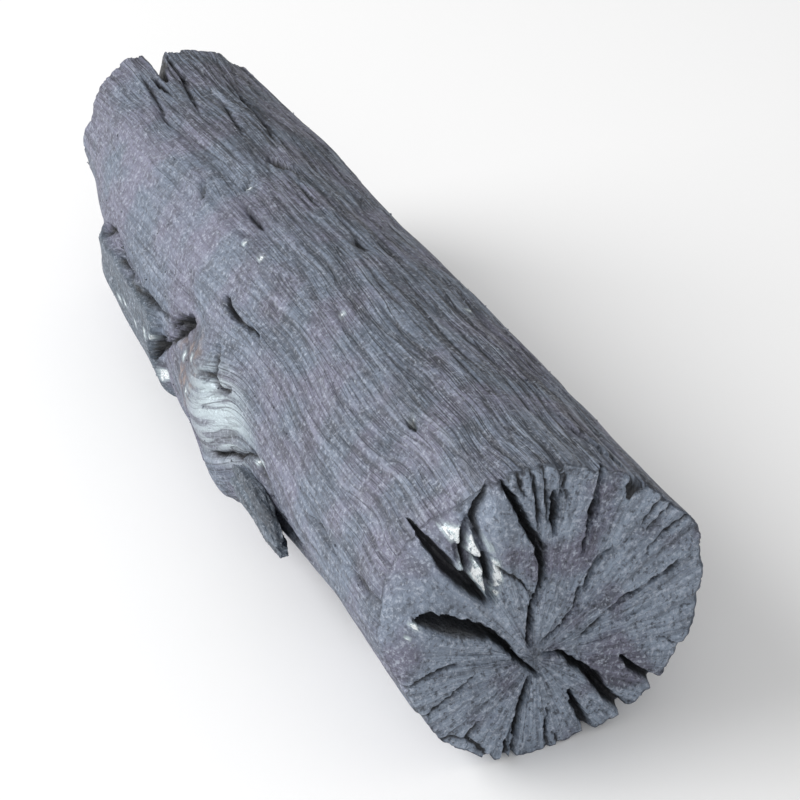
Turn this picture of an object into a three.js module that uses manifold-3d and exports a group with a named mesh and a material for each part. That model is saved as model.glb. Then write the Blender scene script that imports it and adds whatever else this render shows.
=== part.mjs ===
// A lump of lump charcoal: one length of a hardwood branch, carbonised whole and lying on its side.
// It is sawn square at +X, where drying checks open like a star round the pith, and broken off
// at -X, where its -Y shoulder is worn away. On the -Y side it keeps the swelling of a torn-off
// side branch, a plate of bark beside that and a long splinter of bark that stands off the wood.
// Millimetres, +Z up. The lump rests on the flat worn along its underside, at Z 0.

import * as THREE from "three";
import { mergeVertices } from "three/addons/utils/BufferGeometryUtils.js";
import Module from "manifold-3d";

// Driving dimensions.
const BROKEN_X = -111; // the broken end, from the place that the sizes along the log are taken from
const SAWN_X = 107; // the sawn face, from the same place
const SAWN_RADIUS = 33; // mean radius at the sawn face
const BROKEN_RADIUS = 29.5; // mean radius at the broken end
const FLAT_SINK = 1.3; // how far the round of the log is worn away where it rests

// How finely the surface is divided.
const STATIONS = 46; // rings along the side
const SECTORS = 80; // points round a ring
const SAWN_RINGS = 5; // rings from the sawn rim to the pith
const BROKEN_RINGS = 3; // rings from the broken rim to its middle

const LENGTH = SAWN_X - BROKEN_X;
const radians = THREE.MathUtils.degToRad;

// Angles are seen from the sawn end: 0 is +Y, 90 the top, 180 is -Y and 270 the underside.
// The pith, off centre as branches grow, and the middle of the broken end: y, and z above the floor.
const PITH = { y: -3.5, z: 23 };
const BROKEN_MIDDLE = { y: 2, z: 29 };

// Slow waves round the section: how many, how high, where the crest lies and how far it turns along the log.
const LOBES = [
  { waves: 3, height: 0.4, crest: 330, turn: 34 },
  { waves: 5, height: 0.35, crest: 40, turn: -28 },
  { waves: 9, height: 0.28, crest: 12, turn: 22 },
  { waves: 16, height: 0.22, crest: 7, turn: -16 },
];

// Swellings and hollows of the side: where, how far they reach along and round, and how high.
const SWELLINGS = [
  { x: 107, angle: 92, along: 46, round: 26, height: 2.6 },
  { x: 107, angle: 171, along: 34, round: 20, height: 2.4 },
  { x: 107, angle: 222, along: 40, round: 22, height: -1.1 },
  { x: 107, angle: 10, along: 50, round: 26, height: 0.8 },
  { x: 4, angle: 196, along: 17, round: 26, height: 4.2 }, // the side branch
  { x: -14, angle: 166, along: 7, round: 10, height: -2.4 }, // dip above the side branch
  { x: -56, angle: 190, along: 26, round: 24, height: -1.2 },
  { x: -94, angle: 214, along: 20, round: 30, height: -1.2 },
  { x: -111, angle: 192, along: 32, round: 34, height: -4.0 },
  { x: -111, angle: 112, along: 24, round: 16, height: 2.6 },
  { x: -20, angle: 207, along: 12, round: 13, height: 1.5 }, // lip under the hollow above the side branch
  { x: 14, angle: 207, along: 9, round: 13, height: 3.6 }, // root of the splinter
  { x: 60, angle: 214, along: 26, round: 26, height: -1.5 },
  { x: 60, angle: 128, along: 26, round: 26, height: -0.9 },
  { x: -28, angle: 60, along: 30, round: 30, height: -1.1 },
  { x: -60, angle: 20, along: 22, round: 26, height: 1.4 },
  { x: 12, angle: 335, along: 18, round: 16, height: 2.2 }, // healed knot on the far side
];

// The worn -Y shoulder of the broken end: where it starts, its middle, its reach round and its depth.
const SHOULDER = { start: -58, angle: 198, round: 58, depth: 6.5 };

// The plate of bark left on the -Y side, between two places along the log and two angles.
const PLATE = { x0: -76, x1: -28, angle0: 172, angle1: 226, height: 2.4, edge: 3 };

// The sawn edge is worn round about one angle: how far round, along the side and in over the face.
const WORN_EDGE = { angle: 148, round: 38, along: 17, inward: 19 };
const EDGE_MIDDLE = Math.SQRT1_2; // where the round of the edge passes from the side to the face

// The splinter of bark: stations along the log, each with its angle, gap to the wood, thickness and width.
const SPLINTER = [
  { x: -6, angle: 212, gap: -7, thick: 5, width: 15 },
  { x: 12, angle: 209, gap: -2.6, thick: 5.4, width: 13.5 },
  { x: 26, angle: 205.5, gap: -0.6, thick: 4.2, width: 12 },
  { x: 36, angle: 203, gap: 0.2, thick: 3.4, width: 10 },
  { x: 43, angle: 200.5, gap: 1.2, thick: 2.8, width: 7.8 },
  { x: 49.5, angle: 199, gap: 1.8, thick: 1.6, width: 3.4 },
];

// Checks in the sawn face: y, z and width at each point, from the pith outwards, and how deep they go.
// One that ends outside the section also opens the side.
const CHECKS = [
  {
    depth: 12,
    path: [[-4.7, 26, 0.4], [-4.7, 31, 1.3], [-4.2, 36, 1.3], [-2.1, 42, 2.1], [-3, 48.5, 1.3],
      [-5.6, 54.7, 1.7], [-8.5, 61.5, 1.3], [-11.4, 67, 1.0]],
  },
  { depth: 6, path: [[-1.8, 48, 0.4], [-4, 53.5, 1.0], [-4.2, 62, 0.9], [-5.8, 70, 0.9]] },
  { depth: 7, path: [[0.2, 51.6, 0.4], [0, 55.5, 1.6], [-0.2, 60.8, 1.1], [0.6, 71, 0.7]] },
  { depth: 9, path: [[6.3, 45.4, 0.4], [7.5, 50, 1.4], [8.4, 55.4, 1.8], [9.3, 60, 1.1], [11, 70, 1.2]] },
  { depth: 9, path: [[15.8, 17.6, 0.5], [18.2, 14.2, 1.4], [21.5, 11.2, 1.9], [29, 4.5, 2.4]] },
  {
    depth: 14,
    path: [[-0.5, 23.4, 0.6], [2.5, 22.8, 0.9], [4.6, 19.8, 1.7], [8, 16.6, 2.2], [10.8, 12.6, 2.4],
      [14, 8, 2.1], [19, 1, 2.2]],
  },
  { depth: 10, path: [[4.3, 12.4, 0.5], [6.2, 8.2, 1.7], [8.7, 2.5, 2.1], [11, -4, 2.3]] },
  {
    depth: 10,
    path: [[-4.6, 18.6, 0.6], [-5.7, 14.5, 1.9], [-7, 9, 1.8], [-7.7, 3, 1.0], [-8.3, -3, 0.9]],
  },
  { depth: 7, path: [[-8.2, 8.6, 0.4], [-9, 4.5, 1.3], [-10, -2, 1.6]] },
  {
    depth: 13,
    path: [[-5.6, 22.2, 0.5], [-7.6, 24.4, 1.0], [-9.6, 27.6, 1.7], [-13, 31.3, 2.6], [-17, 34, 3.8],
      [-21.4, 36.4, 3.6], [-25, 37.9, 2.3], [-27.8, 37.8, 0.8]],
  },
  {
    depth: 12,
    path: [[-13.8, 38.8, 0.6], [-15.1, 40.8, 1.7], [-17.2, 43.4, 2.8], [-20.2, 47, 3.3], [-22.6, 50.6, 2.2],
      [-24.4, 53.4, 0.7]],
  },
  {
    depth: 4,
    lean: 1.4,
    path: [[-12.3, 39.6, 0.8], [-13.1, 42.8, 3.4], [-14.8, 46.4, 4.8], [-16.4, 50, 5.2], [-16.9, 53.4, 4.4],
      [-16.4, 56.6, 1.2]],
  },
  {
    depth: 3,
    path: [[-13.6, 52, 0.5], [-14.8, 55, 1.5], [-15.2, 58.4, 1.5], [-13.2, 62.4, 1.2], [-11.4, 66, 1.0]],
  },
];

// Checks along the side: x, angle and width at each point, and how deep they go.
const SIDE_CHECKS = [
  // The notch in the broken end.
  { depth: 9, path: [[-116, 92.5, 7], [-108, 94.5, 5], [-102, 97, 2.6], [-94, 99, 0.6]] },
  // An open knot.
  { depth: 3, path: [[-41.4, 88.6, 0.8], [-38, 85.2, 2.8], [-35, 82.4, 2.8], [-32.6, 80.6, 0.8]] },
  {
    depth: 3.4,
    path: [[-5, 141, 0.6], [-3.2, 141.8, 1.9], [-0.6, 143.2, 1.3], [3.4, 143.6, 0.9], [15.4, 140.4, 0.5]],
  },
  {
    depth: 4.2, // hollow above the side branch
    path: [[-34, 200, 1.4], [-28, 188, 2.4], [-22.6, 177.6, 3.8], [-18.4, 169, 4.4], [-15.6, 163, 1.2]],
  },
  { depth: 4.5, path: [[91, 71, 0.6], [97.5, 66.6, 1.6], [101.6, 61.4, 2.4], [109, 55, 2.8]] },
  { depth: 5, path: [[-113, 262, 2.4], [-84, 259, 1.8], [-60, 258, 0.6]] },
  { depth: 4, path: [[32, 350, 0.6], [57, 352, 1.8], [78, 350, 1.5], [96, 348, 0.6]] },
  { depth: 4, path: [[-113, 28, 2.4], [-82, 30, 1.6], [-50, 33, 0.6]] },
];

const CHECK_PROUD = 3; // how far a cutting blade stands out of the surface
const LEAST_WIDTH = 0.15; // width of a blade at its two ends
const RIM_CLOSE = 0.6; // how much shallower a check is where it reaches the sawn rim
const RIM_BAND = 7; // how far inside the rim it starts to close

// Eased from 0 at low to 1 at high.
function ease(low, high, value) {
  return THREE.MathUtils.smoothstep(value, low, high);
}

// Degrees from one angle to another, the short way round.
function turnBetween(from, to) {
  return ((((to - from) % 360) + 540) % 360) - 180;
}

// A rounded hump, 1 in its middle and falling off with distance.
function hump(distance, reach) {
  return Math.exp(-((distance / reach) ** 2));
}

// The mean radius of the section at x.
function meanRadius(x) {
  const t = (x - BROKEN_X) / LENGTH;
  return BROKEN_RADIUS + (SAWN_RADIUS - BROKEN_RADIUS) * Math.sin((t * Math.PI) / 2);
}

// The height of the section's middle above the floor.
function axisHeight(x) {
  return meanRadius(x) - FLAT_SINK;
}

// How strongly the sawn edge is worn at an angle, 0 to 1.
function wornShare(angle) {
  return hump(turnBetween(WORN_EDGE.angle, angle), WORN_EDGE.round);
}

// The round of the worn edge: how far it falls at a share of its reach.
function edgeFall(share) {
  return 1 - Math.sqrt(1 - THREE.MathUtils.clamp(share, 0, EDGE_MIDDLE) ** 2);
}

// The radius of the side at x and an angle in degrees, before its sawn edge was worn.
function unwornRadius(x, angle) {
  let radius = meanRadius(x);
  for (const lobe of LOBES) {
    const crest = lobe.crest + (lobe.turn * x) / LENGTH;
    radius += lobe.height * Math.cos(lobe.waves * radians(angle - crest));
  }
  for (const s of SWELLINGS) {
    radius += s.height * hump(x - s.x, s.along) * hump(turnBetween(s.angle, angle), s.round);
  }
  const worn = ease(0, 1, (SHOULDER.start - x) / (SHOULDER.start - BROKEN_X)) ** 1.4;
  radius -= SHOULDER.depth * worn * hump(turnBetween(SHOULDER.angle, angle), SHOULDER.round);
  const along = ease(PLATE.x0, PLATE.x0 + PLATE.edge, x) * (1 - ease(PLATE.x1 - PLATE.edge, PLATE.x1, x));
  const round = ease(PLATE.angle0, PLATE.angle0 + PLATE.edge * 2, angle) *
    (1 - ease(PLATE.angle1 - PLATE.edge * 4, PLATE.angle1, angle));
  return radius + PLATE.height * along * round;
}

// The radius of the side at x and an angle in degrees.
function sideRadius(x, angle) {
  const share = wornShare(angle);
  const along = WORN_EDGE.along * share;
  return unwornRadius(x, angle) - WORN_EDGE.inward * share * edgeFall((x - SAWN_X + along) / along);
}

// The point of the side at x and an angle in degrees, worn flat on the floor.
function sidePoint(x, angle) {
  const radius = sideRadius(x, angle);
  const y = radius * Math.cos(radians(angle));
  const z = axisHeight(x) + radius * Math.sin(radians(angle));
  return new THREE.Vector3(x, y, Math.max(z, 0));
}

// How far the sawn face lies behind its plane at y and z: a little uneven, and worn round at one edge.
function sawnDip(y, z) {
  const height = z - axisHeight(SAWN_X);
  const angle = THREE.MathUtils.euclideanModulo(THREE.MathUtils.radToDeg(Math.atan2(height, y)), 360);
  const share = wornShare(angle);
  const inward = WORN_EDGE.inward * share;
  const inside = unwornRadius(SAWN_X, angle) - Math.hypot(y, height);
  const uneven = 0.35 * Math.sin(y / 7) * Math.cos(z / 9) + 0.35;
  return WORN_EDGE.along * share * edgeFall((inward - inside) / inward) + uneven;
}

// How far the broken face lies inside the end of the log at y and z: torn in steps and slopes.
function brokenDip(y, z) {
  const slope = 4 - 0.13 * (z - BROKEN_MIDDLE.z) - 0.04 * (y - BROKEN_MIDDLE.y);
  return Math.max(0, slope + 1.1 * Math.sin(y / 4.2 + z / 11) + 0.9 * Math.cos(z / 4.7 - y / 9));
}

// The rings of points that the whole surface is drawn through, from the broken end to the sawn one.
function surfaceRings() {
  const angles = Array.from({ length: SECTORS }, (_, i) => (i * 360) / SECTORS);
  const rings = [];
  const faceRing = (x, middle, share, dip, outward) => angles.map((angle) => {
    const rim = sidePoint(x, angle);
    const y = middle.y + (rim.y - middle.y) * share;
    const z = middle.z + (rim.z - middle.z) * share;
    return new THREE.Vector3(x - outward * dip(y, z), y, z);
  });
  for (let i = 1; i < BROKEN_RINGS; i++) {
    rings.push(faceRing(BROKEN_X, BROKEN_MIDDLE, i / BROKEN_RINGS, brokenDip, -1));
  }
  for (let i = 0; i <= STATIONS; i++) {
    const share = i / STATIONS;
    rings.push(angles.map((angle) => {
      const rim0 = sidePoint(BROKEN_X, angle);
      const rim1 = sidePoint(SAWN_X, angle);
      const x0 = BROKEN_X + brokenDip(rim0.y, rim0.z);
      const x1 = SAWN_X - sawnDip(rim1.y, rim1.z);
      return sidePoint(x0 + (x1 - x0) * share, angle);
    }));
  }
  for (let i = SAWN_RINGS - 1; i > 0; i--) {
    rings.push(faceRing(SAWN_X, PITH, i / SAWN_RINGS, sawnDip, 1));
  }
  return rings;
}

// A closed geometry through rings of equal count, with a fan to a middle point at each end.
function loft(rings, firstMiddle, lastMiddle) {
  const count = rings[0].length;
  const points = [...rings.flat(), firstMiddle, lastMiddle];
  const first = points.length - 2;
  const last = points.length - 1;
  const faces = [];
  for (let i = 0; i < count; i++) {
    const j = (i + 1) % count;
    for (let r = 0; r + 1 < rings.length; r++) {
      const a = r * count;
      const b = a + count;
      faces.push(a + i, a + j, b + j, a + i, b + j, b + i);
    }
    const end = (rings.length - 1) * count;
    faces.push(first, j, i, last, end + i, end + j);
  }
  const geometry = new THREE.BufferGeometry().setFromPoints(points);
  geometry.setIndex(faces);
  return geometry;
}

// A geometry as a solid, with its shared vertices merged and its faces turned outwards.
function solidOf(wasm, geometry) {
  const merged = mergeVertices(geometry, 1e-4);
  const build = (triVerts) => new wasm.Manifold(new wasm.Mesh({
    numProp: 3, vertProperties: merged.attributes.position.array, triVerts,
  }));
  const triVerts = new Uint32Array(merged.index.array);
  const solid = build(triVerts);
  return solid.volume() < 0 ? build(triVerts.map((_, i) => triVerts[i - (i % 3) + 2 - (i % 3)])) : solid;
}

// A solid back as a geometry.
function geometryOf(solid) {
  const mesh = solid.getMesh();
  const geometry = new THREE.BufferGeometry();
  geometry.setAttribute("position", new THREE.BufferAttribute(new Float32Array(mesh.vertProperties), 3));
  geometry.setIndex(new THREE.BufferAttribute(new Uint32Array(mesh.triVerts), 1));
  return geometry;
}

// The body of the log, with its two end faces.
function logBody() {
  const middle = (x, { y, z }, dip, outward) => new THREE.Vector3(x - outward * dip(y, z), y, z);
  return loft(
    surfaceRings(),
    middle(BROKEN_X, BROKEN_MIDDLE, brokenDip, -1),
    middle(SAWN_X, PITH, sawnDip, 1),
  );
}

// The wedge that opens a check: each station has its place on the surface, the ways across and out,
// its width and depth, and how far its bottom lies to one side.
function blade(stations) {
  const rings = stations.map(({ place, across, outward, width, depth, lean }) => {
    const side = across.clone().multiplyScalar(Math.max(width, LEAST_WIDTH) / 2);
    const top = place.clone().addScaledVector(outward, CHECK_PROUD);
    const bottom = place.clone().addScaledVector(outward, -depth).addScaledVector(across, lean);
    const onePair = [top.clone().add(side), place.clone().add(side)];
    const otherPair = [place.clone().sub(side), top.clone().sub(side)];
    return [...onePair, bottom, ...otherPair];
  });
  const middle = (ring) => ring.reduce((sum, p) => sum.add(p), new THREE.Vector3()).divideScalar(ring.length);
  return loft(rings, middle(rings[0]), middle(rings[rings.length - 1]));
}

// The depth of a check in the sawn face: shallow at its inner end and where it reaches the rim.
function depthAlong(depth, share, y, z) {
  const reach = Math.hypot(y, z - axisHeight(SAWN_X));
  const closed = RIM_CLOSE * ease(SAWN_RADIUS - RIM_BAND, SAWN_RADIUS, reach);
  return depth * (0.25 + 0.75 * ease(0, 0.35, share)) * (1 - closed);
}

// The blade of a check in the sawn face.
function faceCheck({ depth, path, lean = 0 }) {
  const places = path.map(([y, z]) => new THREE.Vector3(SAWN_X - sawnDip(y, z), y, z));
  const outward = new THREE.Vector3(1, 0, 0);
  return blade(places.map((place, i) => {
    const before = places[Math.max(i - 1, 0)];
    const after = places[Math.min(i + 1, places.length - 1)];
    const ahead = after.clone().sub(before).setX(0).normalize();
    const across = new THREE.Vector3().crossVectors(outward, ahead);
    const deep = depthAlong(depth, i / (path.length - 1), place.y, place.z);
    return { place, across, outward, width: path[i][2], depth: deep, lean };
  }));
}

// The blade of a check along the side.
function sideCheck({ depth, path }) {
  return blade(path.map(([x, angle, width]) => {
    const outward = new THREE.Vector3(0, Math.cos(radians(angle)), Math.sin(radians(angle)));
    const across = new THREE.Vector3(0, -outward.z, outward.y);
    const inEnd = THREE.MathUtils.clamp(x, BROKEN_X, SAWN_X);
    const middle = new THREE.Vector3(x, 0, axisHeight(inEnd));
    const place = middle.addScaledVector(outward, sideRadius(inEnd, angle));
    return { place, across, outward, width, depth: depth * Math.min(1, width / 1.2), lean: 0 };
  }));
}

// The splinter of bark, rooted in the swelling and free at its tip.
function barkSplinter() {
  const rings = SPLINTER.map(({ x, angle, gap, thick, width }) => {
    const outward = new THREE.Vector3(0, Math.cos(radians(angle)), Math.sin(radians(angle)));
    const across = new THREE.Vector3(0, -outward.z, outward.y);
    const inner = meanRadius(x) + gap;
    const corner = (side, out) => new THREE.Vector3(x, 0, axisHeight(x))
      .addScaledVector(outward, inner + out * thick)
      .addScaledVector(across, (side * width) / 2);
    return [corner(-1, 0.1), corner(-0.6, 0.9), corner(0.5, 1), corner(1, 0.35), corner(0.3, 0)];
  });
  const middle = (ring) => ring.reduce((sum, p) => sum.add(p), new THREE.Vector3()).divideScalar(ring.length);
  return loft(rings, middle(rings[0]), middle(rings[rings.length - 1]));
}

// The whole lump as one geometry, standing on Z 0 with its middle over the origin.
async function charcoalLump() {
  const wasm = await Module();
  wasm.setup();
  let lump = solidOf(wasm, logBody()).add(solidOf(wasm, barkSplinter()));
  for (const check of CHECKS) lump = lump.subtract(solidOf(wasm, faceCheck(check)));
  for (const check of SIDE_CHECKS) lump = lump.subtract(solidOf(wasm, sideCheck(check)));
  const bodies = lump.decompose().sort((a, b) => b.volume() - a.volume());
  const geometry = geometryOf(bodies[0]);
  geometry.computeBoundingBox();
  const { min, max } = geometry.boundingBox;
  return geometry.translate(-(min.x + max.x) / 2, -(min.y + max.y) / 2, -min.z);
}

// Hardwood char: dull blue-grey, with the faint metallic gleam of graphite.
const char = new THREE.MeshStandardMaterial({ color: 0x7e8592, roughness: 0.72, metalness: 0.12 });

const lump = new THREE.Mesh(await charcoalLump(), char);
lump.name = "charcoal_lump";

const group = new THREE.Group();
group.add(lump);
export default group;
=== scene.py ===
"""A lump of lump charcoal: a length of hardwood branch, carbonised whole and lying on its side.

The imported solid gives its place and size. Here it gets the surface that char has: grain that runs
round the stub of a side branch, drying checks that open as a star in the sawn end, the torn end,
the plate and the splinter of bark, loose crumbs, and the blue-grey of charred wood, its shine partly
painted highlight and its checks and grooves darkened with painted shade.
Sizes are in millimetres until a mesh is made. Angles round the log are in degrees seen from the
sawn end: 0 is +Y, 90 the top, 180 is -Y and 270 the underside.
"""
import itertools
import logging
import math
from dataclasses import dataclass, field
from enum import Enum

import bpy
import numpy as np
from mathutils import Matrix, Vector


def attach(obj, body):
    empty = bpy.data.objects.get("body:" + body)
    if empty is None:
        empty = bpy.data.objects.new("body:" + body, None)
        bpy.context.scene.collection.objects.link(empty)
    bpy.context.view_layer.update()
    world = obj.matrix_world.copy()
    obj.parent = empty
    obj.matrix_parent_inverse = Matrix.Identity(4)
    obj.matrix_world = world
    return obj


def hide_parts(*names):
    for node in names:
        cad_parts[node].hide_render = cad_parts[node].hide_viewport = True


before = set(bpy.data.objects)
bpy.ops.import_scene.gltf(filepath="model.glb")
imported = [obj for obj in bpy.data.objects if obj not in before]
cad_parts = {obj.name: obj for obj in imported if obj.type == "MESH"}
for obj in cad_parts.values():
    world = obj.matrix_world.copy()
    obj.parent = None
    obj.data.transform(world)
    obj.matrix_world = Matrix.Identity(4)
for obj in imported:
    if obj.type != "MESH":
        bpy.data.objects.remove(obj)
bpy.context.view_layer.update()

LOG = logging.getLogger("charcoal")
MM = 0.001
NODE = "charcoal_lump"
LOG_X = 2.0  # the log reaches further to -X of the place its sizes are taken from
LOG_Y = 1.19  # the log's middle line lies this far towards +Y, because the splinter widens the box
ROUND = 32.0  # mean radius used to turn an angle into a distance round the log
WHOLE_DEPTH_HALF = 0.55  # half width from which a check goes down to its whole depth
WHOLE_LIP_HALF = 0.7  # half width from which the wood beside a check rises as a whole lip
LIP_AWAY = 0.45  # distance from a check's edge to the crest of its lip
LIP_REACH = 0.55
SHARD_EDGE = 0.5  # width over which a shard's edge fades


def ease(low: float, high: float, value: np.ndarray) -> np.ndarray:
    """Rise smoothly from 0 at low to 1 at high.

    Args:
        low: value where the rise starts.
        high: value where it ends.
        value: values to ease.

    Returns:
        One number from 0 to 1 for each value.
    """
    share = np.clip((value - low) / (high - low), 0.0, 1.0)
    return share * share * (3.0 - 2.0 * share)


def hump(distance: np.ndarray, reach: float) -> np.ndarray:
    """A rounded hump, 1 in its middle and falling off past reach."""
    return np.exp(-((distance / reach) ** 2))


def turn_between(start: float, end: np.ndarray) -> np.ndarray:
    """Degrees from one angle to others, the short way round."""
    return (end - start + 540.0) % 360.0 - 180.0


def lattice_noise(points: np.ndarray, seed: int) -> np.ndarray:
    """Smooth gradient noise on a lattice of unit cells, each with a slope scattered by large odd numbers.

    Args:
        points: array of n by 3 places, in cells.
        seed: number that picks the pattern.

    Returns:
        About -1 to 1 for each point.
    """
    cell = np.floor(points).astype(np.int64)
    inside = points - cell
    fade = inside**3 * (inside * (inside * 6.0 - 15.0) + 10.0)
    total = np.zeros(len(points))
    for corner in itertools.product((0, 1), repeat=3):
        at = cell + corner
        code = at[:, 0] * 73856093 ^ at[:, 1] * 19349663 ^ at[:, 2] * 83492791 ^ seed * 2654435761
        code = ((code ^ (code >> 15)) * 2246822519) & 0xFFFFFFFF
        code = ((code ^ (code >> 13)) * 3266489917) & 0xFFFFFFFF
        rise = (code & 0xFFFF) / 32767.5 - 1.0
        turn = (code >> 16) / 65536.0 * math.tau
        flat = np.sqrt(np.clip(1.0 - rise * rise, 0.0, 1.0))
        away = inside - corner
        slope = away[:, 0] * flat * np.cos(turn) + away[:, 1] * flat * np.sin(turn) + away[:, 2] * rise
        weight = np.prod(np.where(np.array(corner), fade, 1.0 - fade), axis=1)
        total += weight * slope
    return total * 1.6


def rough_noise(points: np.ndarray, seed: int, octaves: int = 3) -> np.ndarray:
    """Lattice noise summed over octaves, each half as large and half as high."""
    return sum(lattice_noise(points * 2**k, seed + k) / 2**k for k in range(octaves))


@dataclass(frozen=True)
class Hump:
    """A swelling or hollow of the side: where it is, its reach along and round, and its height."""

    x: float
    angle: float
    along: float
    round: float
    height: float

    def rise(self, x: np.ndarray, angle: np.ndarray) -> np.ndarray:
        """Height of the swelling at places on the side."""
        off = turn_between(self.angle, angle)
        return self.height * hump(x - self.x, self.along) * hump(off, self.round)


@dataclass(frozen=True)
class Check:
    """A drying check: a path of (first, second, width) points, its depth and how steep its walls are."""

    depth: float
    path: tuple[tuple[float, float, float], ...]
    steep: float = 2.2

    def opened(self, first: np.ndarray, second: np.ndarray) -> tuple[np.ndarray, np.ndarray]:
        """Args:
            first: first coordinate of each place.
            second: second coordinate of each place.

        Returns:
            Depth at each place, 0 outside the check, and how near a place outside is to its edge, 0 to 1.
        """
        deepest = np.zeros_like(first)
        nearest = np.zeros_like(first)
        for (a0, b0, w0), (a1, b1, w1) in itertools.pairwise(self.path):
            run = (a1 - a0) ** 2 + (b1 - b0) ** 2
            share = np.clip(((first - a0) * (a1 - a0) + (second - b0) * (b1 - b0)) / run, 0.0, 1.0)
            away = np.hypot(first - a0 - share * (a1 - a0), second - b0 - share * (b1 - b0))
            half = (w0 + (w1 - w0) * share) / 2.0
            inside = np.clip(1.0 - away / half, 0.0, 1.0)
            wall = 1.0 - (1.0 - inside) ** self.steep
            depth = self.depth * np.minimum(1.0, half / WHOLE_DEPTH_HALF)
            deepest = np.maximum(deepest, depth * wall)
            lip = np.minimum(1.0, half / WHOLE_LIP_HALF) * hump(away - half - LIP_AWAY, LIP_REACH)
            nearest = np.maximum(nearest, lip * (away > half))
        return deepest, nearest


@dataclass(frozen=True)
class Shard:
    """A glossy torn face in the gouge: its corners, turning from +Y to +Z, its rise, its tilt and its share
    of shine and painted highlight.
    """

    corners: tuple[tuple[float, float], ...]
    rise: float
    tilt: tuple[float, float] = (0.0, 0.0)
    glassy_highlight: float = 1.0

    def share(self, y: np.ndarray, z: np.ndarray) -> np.ndarray:
        """1 within the shard and 0 outside, at places across and up the face."""
        inside = np.full_like(y, np.inf)
        for (y0, z0), (y1, z1) in zip(self.corners, (*self.corners[1:], self.corners[0])):
            away = ((y1 - y0) * (z - z0) - (z1 - z0) * (y - y0)) / math.hypot(y1 - y0, z1 - z0)
            inside = np.minimum(inside, away)
        return np.clip(0.5 + inside / SHARD_EDGE, 0.0, 1.0)

    def top(self, y: np.ndarray, z: np.ndarray) -> np.ndarray:
        """How far the shard's plane stands above the hollow's floor, at places across and up the face."""
        middle = np.mean(self.corners, 0)
        return self.rise + self.tilt[0] * (y - middle[0]) + self.tilt[1] * (z - middle[1])


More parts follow.
